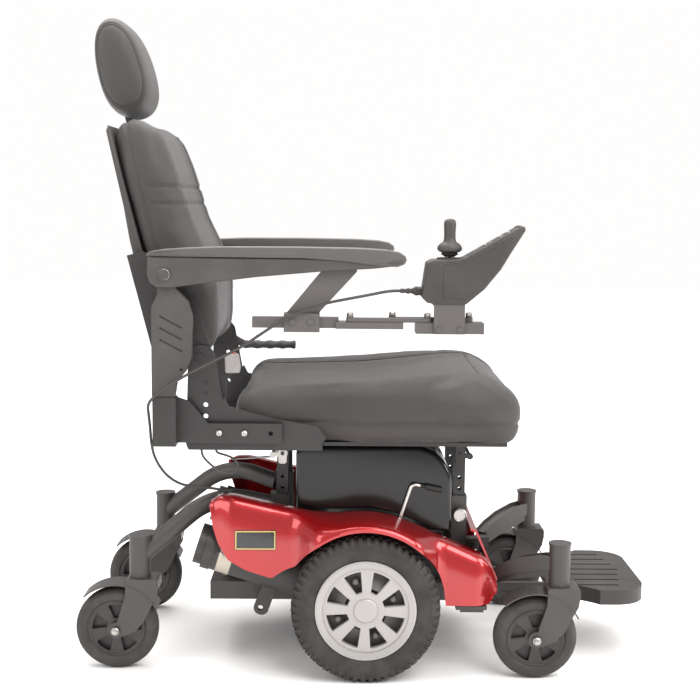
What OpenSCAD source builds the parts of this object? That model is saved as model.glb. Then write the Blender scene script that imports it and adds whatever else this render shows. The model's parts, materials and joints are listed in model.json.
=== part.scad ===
// Mid-wheel power wheelchair with six wheels, a captain's seat and a swing-away controller.
// Millimetres. +X is the way the chair drives, +Y is its left, +Z is up.
// The origin is on the floor under the middle of the chair, below the drive axle.

/* [Drive wheels] */
// Outside diameter of a drive tyre
drive_d = 318; // [300:1:326]
// Width of a drive tyre
drive_w = 64; // [54:1:68]
// Distance between the middles of the two drive tyres
drive_track = 560; // [556:1:580]
// Diameter of a drive rim where the tyre sits
drive_rim_d = 213; // [190:1:230]
// Diameter of a motor's output shaft
shaft_d = 20; // [14:1:26]

/* [Casters] */
// Outside diameter of a caster tyre
caster_d = 180; // [150:1:184]
// Width of a caster tyre
caster_w = 45; // [36:1:48]
// Distance from a swivel's axis back to the caster's axle
caster_trail = 50; // [40:1:54]
// Distance of the front swivels ahead of the drive axle
front_stem_x = 416; // [410:1:440]
// Distance between the two front swivels
front_track = 510; // [500:1:530]
// Distance of the rear swivels behind the drive axle
rear_stem_x = 490; // [480:1:520]
// Distance between the two rear swivels
rear_track = 416; // [400:1:440]
// Diameter of a swivel spindle
spindle_d = 20; // [16:1:24]

/* [Power base] */
// Height of the frame rails' top face
rail_top = 170; // [165:1:175]
// Height of the battery cover's top
cover_top = 490; // [440:1:492]
// Width of the battery cover
cover_w = 376; // [340:2:376]
// Wall of the plastic covers
cover_wall = 4; // [3:0.5:5]
// Width across the two red shrouds
shroud_w = 524; // [510:2:530]
// Angle by which a motor rises towards the rear
motor_tilt = 17.5; // [14:0.5:18]
// Diameter of a motor's body
motor_d = 96; // [84:1:98]

/* [Footplate] */
// Width of the footplate
foot_w = 336; // [300:2:340]
// Distance of the footplate's front edge ahead of the drive axle
foot_front = 630; // [590:1:650]
// Height of the footplate's top
foot_top = 165; // [160:1:170]
// Thickness of the footplate
foot_thick = 33; // [24:1:34]

/* [Seat] */
// Height of the seat pan's top face
pan_top = 508; // [506:1:530]
// Width of the seat cushion
seat_w = 560; // [548:2:560]
// Height of the cushion at its middle
seat_thick = 130; // [100:1:132]
// Distance of the cushion's front ahead of the drive axle
seat_front = 335; // [300:1:360]
// Side of a square seat post
post_side = 25; // [22:1:25]
// Distance between two holes in a seat post
post_pitch = 25; // [20:1:30]

/* [Backrest] */
// Lean of the backrest from upright
back_lean = 14.5; // [8:0.5:18]
// Width of the back cushion
back_w = 500; // [440:2:510]
// Length of the back cushion
back_len = 570; // [500:1:580]
// Width of the headrest
head_w = 250; // [200:2:300]

/* [Arms] */
// Distance between the middles of the two armrests
arm_span = 624; // [620:1:640]
// Width of an armrest pad
pad_w = 62; // [56:1:64]
// Length of an armrest pad
pad_len = 528; // [480:1:540]
// Height of an armrest's top
pad_top = 925; // [915:1:935]

/* [Controller] */
// Side of the square slide bar
bar_side = 22; // [18:1:24]
// Length of a swing link between its pins
link_len = 158; // [140:1:170]
// Width of the controller's case
case_w = 68; // [62:1:68]

/* [Fits] */
// Gap all round a pin that turns in its hole
run_gap = 0.05; // [0.02:0.01:0.1]
// Gap between flat faces that slide or turn past each other
face_gap = 0.3; // [0.2:0.05:0.5]

/* [Hidden] */
$fn = 48;
eps = 0.01;
RIGHT = -1;
LEFT = 1;

charcoal = "#4a4543";
black_plastic = "#2b2928";
red_gloss = "#b5121b";
silver = "#c6c1bc";
rubber = "#4b4644";
vinyl = "#3f3b3a";

// Drive wheels and motors
axle_z = drive_d / 2;
wheel_y = drive_track / 2;
shaft_r = shaft_d / 2;
motor_y = 190;
motor_len = 383;
gearbox_r = 54;
gearbox_in = 135;
gearbox_out = wheel_y - drive_w / 2 - 2;
hub_in = wheel_y - 28;
shaft_end = wheel_y + 8;

// Casters
caster_r = caster_d / 2;
stem_r = 23;
arm_tube_d = 40;
stem_bottom = caster_d + 23.3;
stem_top = stem_bottom + 88;
spindle_r = spindle_d / 2;
leg_gap = 2.5;
leg_wall = 6;
guard_gap = 9;
axle_bolt_r = 6;

// Frame
rail_h = 40;
rail_w = 30;
rail_y = 120;
rail_rear = -345;
rail_front = 275;
socket_wall = 4.2;
socket_in = post_side + 2 * face_gap;
socket_out = socket_in + 2 * socket_wall;
socket_top = 370;
post_x = [-184, 209];
arm_pivot = [262, 188];
arm_root_y = 140;
arm_pin_r = 8;
arm_boss_w = 33.4;
hinge_x = 428;
hinge_z = foot_top - foot_thick + 9;
hinge_r = 5;
knuckle_r = 9;
knuckle_half = 49.7;

// Covers
cover_rear = -153;
cover_front = 188;
cover_bottom = 307;
shroud_y = shroud_w / 2;
shroud_in = cover_w / 2 + 16;
arch_r = axle_z + 13;
lip_y = wheel_y + 38;
lever_y = cover_w / 2 + 8;
lever_pivot = [62, 292];

// Seat
post_y = 120;
post_bottom = 195;
post_top = 488;
cushion_rear = -290;
plate_in = seat_w / 2 - 10;
plate_wall = 6;
rail_plate_in = seat_w / 2 + 6;
recline = [-351, 694];
recline_pin_r = 8;
latch_z = 463;
latch_y = post_y + post_side / 2 + 4;

// Arm posts and armrests
arm_y = arm_span / 2;
arm_tube = [40.4, 21.4];
arm_tube_x = -419.5;
arm_hinge = [-416, 868];
arm_hinge_r = 6;
frame_top = pad_top - 22;
frame_w = pad_w - 8;
cheek_gap = arm_tube[1] / 2 + 0.6 + face_gap;
pad_rear = -452;

// Controller
bar_y = -arm_y;
bar_z = 771;
pin_r = 4;
link_offset = 12;
link_w = 16;
link_z = [773.4, 782.2];
pin_a = [-38.5, bar_y - link_offset];
pin_b = [48.7, bar_y + link_offset];
pin_c = pin_a + [link_len, 0];
pin_d = pin_b + [link_len, 0];
stick = [pin_c[0] + 44, 899];
key_slope = atan2(972 - 907, 306 - 192);
key_r = 5;
key_rise = 1.6;

// The controller's lead: case, clip on the bracket, down behind the arm post, then into the base
cable_d = 6;
cable_points = [
  [63.5, -312, 837], [50, -313, 837], [30, -318, 835], [0, -326, 829], [-40, -334, 822], [-100, -337, 810],
  [-170, -339, 781], [-215, -339, 752], [-259, -338, 721], [-318, -336, 691], [-376, -334, 661],
  [-418, -336, 634], [-443, -338, 614], [-453, -330, 598], [-453, -314, 576], [-451, -308, 546], [-450, -304, 516],
  [-445, -290, 480], [-427, -262, 440], [-400, -238, 414], [-366, -216, 403], [-322, -198, 396],
  [-290, -186, 382], [-272, -182, 352], [-262, -168, 320], [-258, -138, 308], [-258, -98, 292], [-258, -70, 262],
  [-258, -62, 240], [-258, -62, 226.3]
];
// A spare loop of the seat's own lead, hanging under the right rail
loop_points = [
  [-350, -262, 494.6], [-348, -262, 480], [-334, -262, 465], [-316, -262, 450], [-297, -262, 442],
  [-280, -262, 445], [-271, -261, 456], [-276, -259, 470], [-292, -257, 480], [-318, -256, 486], [-320, -256, 494.6]
];

// Draws its children for the right side, and mirrors them for the left
module on_side(side) {
  if (side == LEFT) mirror([0, 1, 0]) children();
  else children();
}

// Extrudes an outline drawn in X and Z from y0 to y1
module slab(y0, y1) {
  translate([0, y1, 0]) rotate([90, 0, 0]) linear_extrude(y1 - y0) children();
}

// Round bar between two points
module bar(p, q, d) {
  v = q - p;
  len = norm(v);
  translate(p) rotate([0, acos(v[2] / len), atan2(v[1], v[0])]) cylinder(h = len, d = d);
}

// Bent round bar in the XZ plane, from the origin along +X. A step is [length, 0] for a straight
// stretch, or [radius, angle] for a bend, where a positive angle turns the bar upwards.
module bent_bar(steps, d, i = 0) {
  if (i < len(steps)) {
    size = steps[i][0];
    turn = steps[i][1];
    if (turn == 0) {
      rotate([0, 90, 0]) cylinder(h = size, d = d);
      translate([size, 0, 0]) bent_bar(steps, d, i + 1);
    } else {
      up = sign(turn);
      multmatrix([[0, 1, 0, 0], [0, 0, -up, 0], [-up, 0, 0, up * size], [0, 0, 0, 1]])
        rotate_extrude(angle = abs(turn), $fn = 96) translate([size, 0]) circle(d = d);
      translate([0, 0, up * size]) rotate([0, -turn, 0]) translate([0, 0, -up * size])
        bent_bar(steps, d, i + 1);
    }
  }
}

// Cylinder along Y from y0 to y1 at a place in X and Z
module across(at, y0, y1, r) {
  translate([at[0], y1, at[1]]) rotate([90, 0, 0]) cylinder(h = y1 - y0, r = r);
}

// Convex outline, given anticlockwise, with each corner rounded outwards by r
module rounded(points, r) {
  n = len(points);
  edges = [for (i = [0 : n - 1])
    let (p = points[i], q = points[(i + 1) % n], d = (q - p) / norm(q - p), out = [d[1], -d[0]] * r)
    each [p + out, q + out]];
  polygon(edges);
  for (p = points) translate(p) circle(r);
}

// Box from its lowest corner to its highest corner
module block(low, high) {
  translate(low) cube(high - low);
}

// ---------- power base ----------

module post_socket(x) {
  half = socket_out / 2;
  hole = socket_in / 2;
  for (y = [-post_y, post_y]) difference() {
    block([x - half, y - half, rail_top], [x + half, y + half, socket_top]);
    block([x - hole, y - hole, rail_top + 8], [x + hole, y + hole, socket_top + 1]);
  }
}

module arm_ears(side) {
  ear_wall = 5;
  boss = arm_boss_w / 2 + face_gap;
  on_side(side) {
    for (y0 = [-arm_root_y - boss - ear_wall, -arm_root_y + boss]) {
      slab(y0, y0 + ear_wall) rounded([[252, rail_top - 12], [arm_pivot[0] + 6, rail_top - 12], arm_pivot], 10);
    }
    block([240, -arm_root_y - boss - ear_wall, rail_top - 34], [278, -rail_y - rail_w / 2 + eps, rail_top - 3]);
    across(arm_pivot, -arm_root_y - boss - ear_wall, -arm_root_y + boss + ear_wall, arm_pin_r);
  }
}

module foot_bracket() {
  for (side = [RIGHT, LEFT]) on_side(side)
    slab(-knuckle_half - face_gap - 12, -knuckle_half - face_gap)
      rounded([[rail_front - 4, hinge_z], [hinge_x, hinge_z], [hinge_x, hinge_z + eps]], knuckle_r);
  across([hinge_x, hinge_z], -knuckle_half - 10, knuckle_half + 10, hinge_r);
}

module chassis_frame() color(charcoal) {
  half_w = rail_w / 2;
  inner = rail_y - half_w;
  outer = rail_y + half_w;
  for (s = [-1, 1]) {
    difference() {
      block([rail_rear, s * rail_y - half_w, rail_top - rail_h], [rail_front, s * rail_y + half_w, rail_top]);
      block([rail_rear - 1, s * rail_y - half_w + 3, rail_top - rail_h + 3],
            [rail_front + 1, s * rail_y + half_w - 3, rail_top - 3]);
    }
  }
  for (x = [rail_rear, post_x[0] - half_w, post_x[1] - half_w, rail_front - rail_w])
    block([x, -inner - eps, rail_top - rail_h], [x + rail_w, inner + eps, rail_top]);
  block([-165, -outer + 3, rail_top - eps], [cover_front - 2, outer - 3, rail_top + 3]);
  block([rail_rear, -inner - eps, rail_top - 4], [post_x[0], inner + eps, rail_top]);
  for (x = post_x) post_socket(x);
  for (s = [-1, 1]) on_side(s) {
    across([post_x[1], 330], -post_y - socket_out / 2 - 12, -post_y - socket_out / 2 + 1, 15);
    block([195, -255, rail_top - 24], [262, -outer + 1, rail_top - 16]);
    block([205, -252, rail_top - 30], [255, -212, rail_top - 24]);
  }
  arm_ears(RIGHT);
  arm_ears(LEFT);
  foot_bracket();
}

module batteries() color(black_plastic) {
  battery = [138, 228, 205];
  for (x = [-140, 30]) translate([x, -battery[1] / 2, rail_top + 3]) {
    cube(battery);
    for (y = [40, battery[1] - 40]) translate([battery[0] / 2, y, battery[2] - eps]) cylinder(h = 12, r = 8);
  }
}

module power_module() color(black_plastic) {
  block([-322, -90, rail_top], [-212, 90, rail_top + 48]);
  for (y = [-62, -20, 22]) translate([-258, y, rail_top + 48 - eps]) cylinder(h = 8, r = 11);
}

module gearmotor(side) on_side(side) {
  tail = [motor_len - 38, motor_len - 18, motor_len];
  across([0, axle_z], -gearbox_out, -gearbox_in, gearbox_r);
  across([0, axle_z], -shaft_end, -gearbox_out + 1, shaft_r);
  translate([0, -motor_y, axle_z]) rotate([0, motor_tilt - 90, 0]) {
    translate([0, 0, 30]) cylinder(h = tail[0] - 30, d = motor_d);
    translate([0, 0, tail[0] - eps]) cylinder(h = tail[1] - tail[0] + eps, d = motor_d + 4);
    translate([0, 0, tail[1] - eps]) cylinder(h = tail[2] - tail[1], d = motor_d - 8);
    for (turn = [90, 270]) rotate([0, 0, turn])
      translate([motor_d / 2 - 6, 0, tail[0] - 14]) rotate([0, 90, 0]) cylinder(h = 12, r = 9);
  }
  // Lug that carries the freewheel lever
  slab(-lever_y + 6, -lever_y + 16) rounded([[20, axle_z + 30], [40, axle_z + 20], lever_pivot], 12);
  across(lever_pivot, -lever_y - 5, -lever_y + 7, hinge_r);
  across(lever_pivot, -lever_y - 6.5, -lever_y - 4.3, hinge_r + 3);
  // Tie-down eye below the motor
  difference() {
    slab(-motor_y - 6, -motor_y + 6) rounded([[-229, 129], [-226, 128], [-199, 205]], 15);
    across([-229, 129], -motor_y - 7, -motor_y + 7, 6);
  }
}

module gearmotors() color(black_plastic) {
  gearmotor(RIGHT);
  gearmotor(LEFT);
}

module rear_arm(side) on_side(side) {
  stem = [-rear_stem_x, -rear_track / 2];
  face = post_x[0] - socket_out / 2;
  start = [face - 9, -post_y];
  reach = norm(stem - start);
  rise = 15;
  fall = 38;
  bend_r = 150;
  first = 56;
  last = (reach - first * cos(rise) - bend_r * (sin(rise) + sin(fall))) / cos(fall);
  difference() {
    union() {
      translate([stem[0], stem[1], stem_bottom]) cylinder(h = stem_top - stem_bottom, r = stem_r);
      translate([start[0], start[1], 344]) rotate([0, 0, atan2(stem[1] - start[1], stem[0] - start[0])])
        rotate([0, -rise, 0]) bent_bar([[first, 0], [bend_r, -rise - fall], [last, 0]], arm_tube_d);
      block([face - 10, -post_y - 17, 318], [face, -post_y + 17, 372]);
    }
    translate([stem[0], stem[1], stem_bottom - 1])
      cylinder(h = stem_top - stem_bottom - 6, r = spindle_r + run_gap);
  }
  translate([stem[0], stem[1], stem_top - eps]) cylinder(h = 5, r = stem_r + 1.5);
}

module rear_arms() color(charcoal) {
  rear_arm(RIGHT);
  rear_arm(LEFT);
}

module cover_outline(inset) {
  shoulder = 85;
  heel = 20;
  square_low = [cover_rear + inset, cover_bottom - (inset > 0 ? 10 : 0)];
  translate(square_low) square([cover_front - cover_rear - 2 * inset, cover_top - shoulder - square_low[1]]);
  translate([cover_rear + inset, cover_bottom]) square([heel - inset, cover_top - heel - cover_bottom]);
  translate([cover_rear + heel, cover_bottom])
    square([cover_front - cover_rear - heel - shoulder, cover_top - inset - cover_bottom]);
  translate([cover_rear + heel, cover_top - heel]) circle(heel - inset);
  translate([cover_front - shoulder, cover_top - shoulder]) circle(shoulder - inset);
}

module battery_cover() color(black_plastic) {
  difference() {
    slab(-cover_w / 2, cover_w / 2) cover_outline(0);
    slab(-cover_w / 2 + cover_wall, cover_w / 2 - cover_wall) cover_outline(cover_wall);
  }
}

module front_cover() color(red_gloss) {
  half = shroud_in - 3;
  difference() {
    slab(-half, half)
      polygon([[229, 312], [243, 308], [290, 200], [284, 180], [279.5, 180], [285, 200], [240, 303], [229, 307]]);
    for (s = [-1, 1]) on_side(s)
      block([220, -arm_root_y - 48, 170], [300, -arm_root_y + 30, 250]);
  }
}

module shroud_outline() {
  polygon([[-334, 372], [-331, 330], [-318, 288], [-296, 255], [-256, 232], [-202, 214], [-176, 236], [-150, 240],
           [170, 156], [267, 157], [279, 164], [285, 180], [282, 212], [269, 249], [188, 288], [102, 325],
           [60, 341], [20, 350], [-20, 350], [-62, 345], [-113, 348], [-191, 366], [-285, 389], [-316, 388]]);
}

module shroud_hollow() {
  w = cover_wall;
  polygon([[-330 + w, 372 - w], [-345, 330], [-345, 150], [281 - w, 150], [281 - w, 180], [278 - w, 210],
           [265 - w, 246], [186, 284 - w], [101, 321 - w], [59, 337 - w], [20, 350 - w], [-20, 350 - w],
           [-62, 341 - w], [-113, 344 - w], [-191, 362 - w], [-285, 385 - w], [-312, 384 - w]]);
}

module shroud(side) color(red_gloss) on_side(side) {
  lip = 6;
  difference() {
    slab(-shroud_y, -shroud_in) shroud_outline();
    difference() {
      slab(-shroud_y + cover_wall, -shroud_in + 1) shroud_hollow();
      intersection() {
        across([0, axle_z], -shroud_y, -shroud_in + 2, arch_r + cover_wall);
        block([-120, -shroud_y, axle_z + 60], [200, -shroud_in + 2, axle_z + 300]);
      }
    }
    across([0, axle_z], -shroud_y - 1, -shroud_in + 2, arch_r);
  }
  difference() {
    across([0, axle_z], -lip_y, -shroud_y + 1, arch_r + lip);
    across([0, axle_z], -lip_y - 1, -shroud_y + 2, arch_r);
    slab(-lip_y - 2, -shroud_y + 3)
      polygon([[-300, -100], [300, -100], [300, 200], [162, axle_z + 66], [0, axle_z], [-148, axle_z + 92],
               [-300, axle_z + 180]]);
  }
}

module freewheel_lever(side) color(silver) on_side(side) {
  rod = 7.4;
  eye_r = 10;
  y = -lever_y;
  difference() {
    union() {
      across(lever_pivot, y - 4, y + 4, eye_r);
      translate([lever_pivot[0], y, lever_pivot[1]]) rotate([0, -72, 0]) bent_bar([[112, 0], [12, -84], [24, 0]], rod);
    }
    across(lever_pivot, y - 5, y + 5, hinge_r + run_gap);
  }
  translate([lever_pivot[0], y, lever_pivot[1]]) rotate([0, -72, 0]) translate([112, 0, -12]) rotate([0, 84, 0])
    translate([20, 0, 12]) rotate([0, 90, 0]) cylinder(h = 36, d = 12);
}

// ---------- wheels ----------

module drive_tyre(side) color(rubber) on_side(side) {
  bead = drive_rim_d / 2;
  r = drive_d / 2;
  w = drive_w / 2;
  translate([0, -wheel_y, axle_z]) rotate([90, 0, 0]) rotate_extrude($fn = 96) polygon([
    [bead, -w + 7], [bead + 6, -w + 3], [bead + 24, -w], [r - 16, -w + 1], [r - 6, -w + 5], [r, -w + 14],
    [r, w - 14], [r - 6, w - 5], [r - 16, w - 1], [bead + 24, w], [bead + 6, w - 3], [bead, w - 7]]);
}

module drive_rim(side) color(silver) on_side(side) {
  r = drive_rim_d / 2;
  w = drive_w / 2 - 7;
  windows = 8;
  inner = 46;
  outer = r - 24;
  nut_ring = 62;
  translate([0, -wheel_y, axle_z]) rotate([90, 0, 0]) {
    difference() {
      union() {
        rotate_extrude($fn = 96) polygon([[r - 12, -w], [r, -w], [r, w], [r - 5, w + 2], [r - 13, w - 4], [r - 12, 10]]);
        rotate_extrude($fn = 96) polygon([[20, 12], [r - 11, 9], [r - 11, 19], [39, 24.5], [33, 26], [20, 26]]);
        translate([0, 0, -14]) cylinder(h = 6, r = r - 11);
        translate([0, 0, -28]) cylinder(h = 50, r = 34);
        translate([0, 0, 22 - eps]) cylinder(h = 7, r1 = 25, r2 = 22);
      }
      for (i = [0 : windows - 1]) rotate([0, 0, 24.5 + i * 360 / windows])
        translate([0, 0, 2]) linear_extrude(40)
          polygon([[inner, -7], [outer, -17], [outer + 5, -12], [outer + 5, 12], [outer, 17], [inner, 7], [inner - 5, 0]]);
      translate([0, 0, -29]) cylinder(h = shaft_end - hub_in + 3, r = shaft_r + run_gap);
    }
    for (i = [0 : 3]) rotate([0, 0, -20.5 + i * 90]) translate([nut_ring, 0, -8 - eps]) {
      cylinder(h = 9, r = 9, $fn = 6);
      cylinder(h = 12, r = 4.5);
    }
  }
}

// ---------- suspension arms and casters ----------

module front_arm(side) color(charcoal) on_side(side) {
  stem = [front_stem_x, -front_track / 2];
  reach = [stem[0] - arm_pivot[0], stem[1] + arm_root_y];
  run = norm(reach);
  turn = atan2(reach[1], reach[0]);
  arm_half = 15;
  web_half = arm_boss_w / 2 - 0.7;
  difference() {
    union() {
      across(arm_pivot, -arm_root_y - arm_boss_w / 2, -arm_root_y + arm_boss_w / 2, 15);
      translate([stem[0], stem[1], stem_bottom]) cylinder(h = stem_top - stem_bottom, r = stem_r);
      translate([0, 0, arm_pivot[1]]) slab(-arm_root_y - web_half, -arm_root_y + web_half)
        polygon([[arm_pivot[0], -13], [arm_pivot[0] + 46, -5], [arm_pivot[0] + 46, 20], [arm_pivot[0], 14]]);
      translate([arm_pivot[0], -arm_root_y, arm_pivot[1]]) rotate([0, 0, turn]) {
        slab(-arm_half, arm_half)
          polygon([[38, -7], [100, 16], [run - 12, 36], [run - 12, 70], [run - 40, 69], [100, 56], [60, 38], [38, 23]]);
        for (y = [-arm_half - 3, arm_half - 1]) slab(y, y + 4)
          polygon([[38, 28], [60, 44], [100, 63], [run - 40, 77], [run - 12, 79], [run - 12, 50], [100, 30], [40, 2]]);
      }
    }
    across(arm_pivot, -arm_root_y - 40, -arm_root_y + 40, arm_pin_r + run_gap);
    translate([stem[0], stem[1], stem_bottom - 1])
      cylinder(h = stem_top - stem_bottom - 6, r = spindle_r + run_gap);
  }
  translate([stem[0], stem[1], stem_top - eps]) cylinder(h = 5, r = stem_r + 1.5);
}

module fork_leg() {
  ax = -caster_trail;
  az = caster_r;
  polygon([[-28, az + 96], [42, az + 96], [38, az + 72], [27, az + 53], [19, az + 35], [10, az + 18],
           [-7, az - 2], [ax + 14, az - 14], [ax - 10, az - 12], [ax - 15, az + 8], [ax + 3, az + 18],
           [-36, az + 53], [-29, az + 75]]);
  translate([ax, az]) circle(17);
}

module caster_fork(stem, side) color(charcoal) translate([stem[0], side * stem[1], 0]) {
  half = caster_w / 2 + leg_gap;
  outer = half + leg_wall;
  crown_top = stem_bottom - face_gap;
  crown_low = caster_r + 86;
  hub = [-caster_trail, caster_r];
  guard_in = caster_r + guard_gap;
  difference() {
    union() {
      slab(-outer, outer) rounded([[-22, crown_low + 6], [36, crown_low + 6], [36, crown_top - 6], [-22, crown_top - 6]], 6);
      for (y = [-outer, half]) slab(y, y + leg_wall) fork_leg();
      intersection() {
        difference() {
          across(hub, -outer - 1, outer + 1, guard_in + 3);
          across(hub, -outer - 2, outer + 2, guard_in);
        }
        slab(-outer - 3, outer + 3)
          polygon([hub + [0, 0], hub + [130, 70], hub + [130, 200], hub + [-140, 200], hub + [-140, 152]]);
      }
    }
    across(hub, -half, half, guard_in - 1);
  }
  translate([0, 0, crown_top - eps]) cylinder(h = stem_top - stem_bottom - 12, r = spindle_r);
  across(hub, -outer - 1, outer + 1, axle_bolt_r);
  for (s = [-1, 1]) on_side(s) across(hub, -outer - 6, -outer + 1, 9);
}

module caster_tyre(stem, side) color(rubber)
  translate([stem[0] - caster_trail, side * stem[1], caster_r]) rotate([90, 0, 0]) {
  bead = caster_r * 0.68;
  w = caster_w / 2;
  rotate_extrude($fn = 96) {
    translate([caster_r - 14, 0]) circle(14);
    polygon([[bead, -w + 4], [bead + 5, -w], [caster_r - 16, -w + 1], [caster_r - 7, -w + 8], [caster_r - 2, -7],
             [caster_r - 2, 7], [caster_r - 7, w - 8], [caster_r - 16, w - 1], [bead + 5, w], [bead, w - 4]]);
  }
}

module caster_rim(stem, side) color(black_plastic)
  translate([stem[0] - caster_trail, side * stem[1], caster_r]) rotate([90, 0, 0]) {
  bead = caster_r * 0.68;
  w = caster_w / 2 - 4;
  spokes = 5;
  hub_r = 15;
  half_hub = caster_w / 2 + leg_gap - face_gap;
  difference() {
    union() {
      rotate_extrude($fn = 96) polygon([[bead - 7, -w], [bead, -w], [bead, w], [bead - 7, w]]);
      translate([0, 0, -half_hub]) cylinder(h = 2 * half_hub, r = hub_r);
      translate([0, 0, -9]) cylinder(h = 18, r = bead - 6);
    }
    for (i = [0 : spokes - 1]) rotate([0, 0, 18 + i * 360 / spokes]) translate([0, 0, -20])
      linear_extrude(40) rounded([[hub_r + 8, -3], [bead - 12, -17], [bead - 9, 0], [bead - 12, 17], [hub_r + 8, 3]], 2.5);
    translate([0, 0, -40]) cylinder(h = 80, r = axle_bolt_r + run_gap);
  }
}

front_stem = [front_stem_x, front_track / 2];
rear_stem = [-rear_stem_x, rear_track / 2];

module footplate() color(charcoal) {
  bottom = foot_top - foot_thick;
  half = foot_w / 2;
  nose_r = 70;
  edge_r = 20;
  sweep_r = sqrt(pow(caster_r, 2) - pow(caster_r - bottom, 2)) + caster_trail + 9;
  difference() {
    translate([0, 0, bottom]) linear_extrude(foot_thick) {
      rounded([[foot_front - nose_r, -half + nose_r], [foot_front - nose_r, half - nose_r],
               [foot_front - nose_r - 50, half - nose_r], [foot_front - nose_r - 50, -half + nose_r]], nose_r);
      rounded([[hinge_x + 12 + edge_r, -half + edge_r], [foot_front - nose_r - 30, -half + edge_r],
               [foot_front - nose_r - 30, half - edge_r], [hinge_x + 12 + edge_r, half - edge_r]], edge_r);
    }
    for (y = [-1, 1]) translate([front_stem_x, y * front_track / 2, 0]) cylinder(h = 300, r = sweep_r);
    for (i = [-3 : 3]) block([480, i * 42 - 4, foot_top - 2], [596 - abs(i) * 8, i * 42 + 4, foot_top + 1]);
  }
  difference() {
    union() {
      across([hinge_x, hinge_z], -knuckle_half, knuckle_half, knuckle_r);
      block([hinge_x, -knuckle_half, hinge_z - knuckle_r], [hinge_x + 16, knuckle_half, hinge_z + knuckle_r]);
    }
    across([hinge_x, hinge_z], -knuckle_half - 1, knuckle_half + 1, hinge_r + run_gap);
  }
}

// ---------- seat ----------

module seat_posts() color(charcoal) {
  wall = 2.5;
  half = post_side / 2;
  for (x = post_x) {
    for (y = [-post_y, post_y]) difference() {
      block([x - half, y - half, post_bottom], [x + half, y + half, post_top]);
      block([x - half + wall, y - half + wall, post_bottom - 1], [x + half - wall, y + half - wall, post_top + 1]);
      for (z = [post_bottom + 40 : post_pitch : latch_z - 30]) across([x, z], y - half - 1, y + half + 1, 4);
    }
    block([x - half, -post_y - half, post_top - eps], [x + half, post_y + half, pan_top - 8]);
    for (s = [-1, 1]) on_side(s) across([x, latch_z], -latch_y - 6.5, -post_y - half + wall, 4);
  }
}

module latch(x, way) {
  rod_x = x + way * 22;
  for (s = [-1, 1]) on_side(s) difference() {
    slab(-latch_y - 3, -latch_y + 3) union() {
      translate([x, latch_z]) circle(11);
      rounded([[x - 4, latch_z - 18], [x + 4, latch_z - 18], [x + 5, latch_z + 18], [x - 5, latch_z + 18]], 5);
      rounded([[rod_x - way * 2, latch_z - 8], [rod_x, latch_z], [x, latch_z + 6], [x, latch_z - 8]], 0.5);
      translate([rod_x, latch_z - 4]) circle(7);
    }
    across([x, latch_z], -latch_y - 4, -latch_y + 4, 4 + run_gap);
  }
  across([rod_x, latch_z - 4], -latch_y + 2, latch_y - 2, 4);
}

module front_latch() color(black_plastic) latch(post_x[1], 1);

module rear_latch() color(black_plastic) {
  latch(post_x[0], -1);
  translate([post_x[0] - 4, -latch_y, latch_z + 18]) rotate([0, -233, 0]) bent_bar([[28, 0], [10, -49], [84, 0]], 5);
}

module recline_plate() {
  rounded([[recline[0] - 6, pan_top + 4], [recline[0] + 40, pan_top + 4], [recline[0] + 6, recline[1]], recline], 24);
  polygon([[-370, pan_top - 12], [-104, pan_top - 12], [-86, pan_top + 16], [-104, pan_top + 40], [-200, pan_top + 56],
           [-290, pan_top + 80], [-300, pan_top + 100]]);
}

module seat_side(side) on_side(side) {
  difference() {
    slab(-plate_in - plate_wall, -plate_in) recline_plate();
    slab(-plate_in - plate_wall - 1, -plate_in + 1) translate([-500, pan_top - 72]) square([500, 60]);
    for (z = [pan_top + 60 : 24 : recline[1] - 40]) across([recline[0] + 12, z], -plate_in - 8, -plate_in + 1, 5);
  }
  across(recline, -plate_in - plate_wall - 3, -plate_in + 13, recline_pin_r);
  // Rail that carries the arm's receiver
  difference() {
    slab(-rail_plate_in - 6, -rail_plate_in)
      polygon([[-443, 514], [-179, 514], [-179, 555], [-332, 555], [-372, 602], [-396, 610], [-443, 610]]);
    across([-202, 535], -rail_plate_in - 7, -rail_plate_in + 1, 5);
  }
  for (x = [-310, -257]) across([x, 535], -rail_plate_in - 9, -plate_in - plate_wall + 1, 8);
  difference() {
    hole = arm_tube / 2 + [face_gap, face_gap];
    block([arm_tube_x - 24, -arm_y - hole[1] - 5, 512], [arm_tube_x + 24, -rail_plate_in - 5, 614]);
    block([arm_tube_x - hole[0], -arm_y - hole[1], 511], [arm_tube_x + hole[0], -arm_y + hole[1], 615]);
  }
}

module seat_frame() color(charcoal) {
  half = plate_in + plate_wall;
  block([cushion_rear - 10, -240, pan_top - 8], [seat_front - 35, 240, pan_top]);
  for (x = [-357, -140]) block([x, -half, pan_top - 12], [x + 46, half, pan_top - eps]);
  seat_side(RIGHT);
  seat_side(LEFT);
  across([-330, 672], plate_in + plate_wall - 1, plate_in + plate_wall + 12, 6);
}

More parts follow.
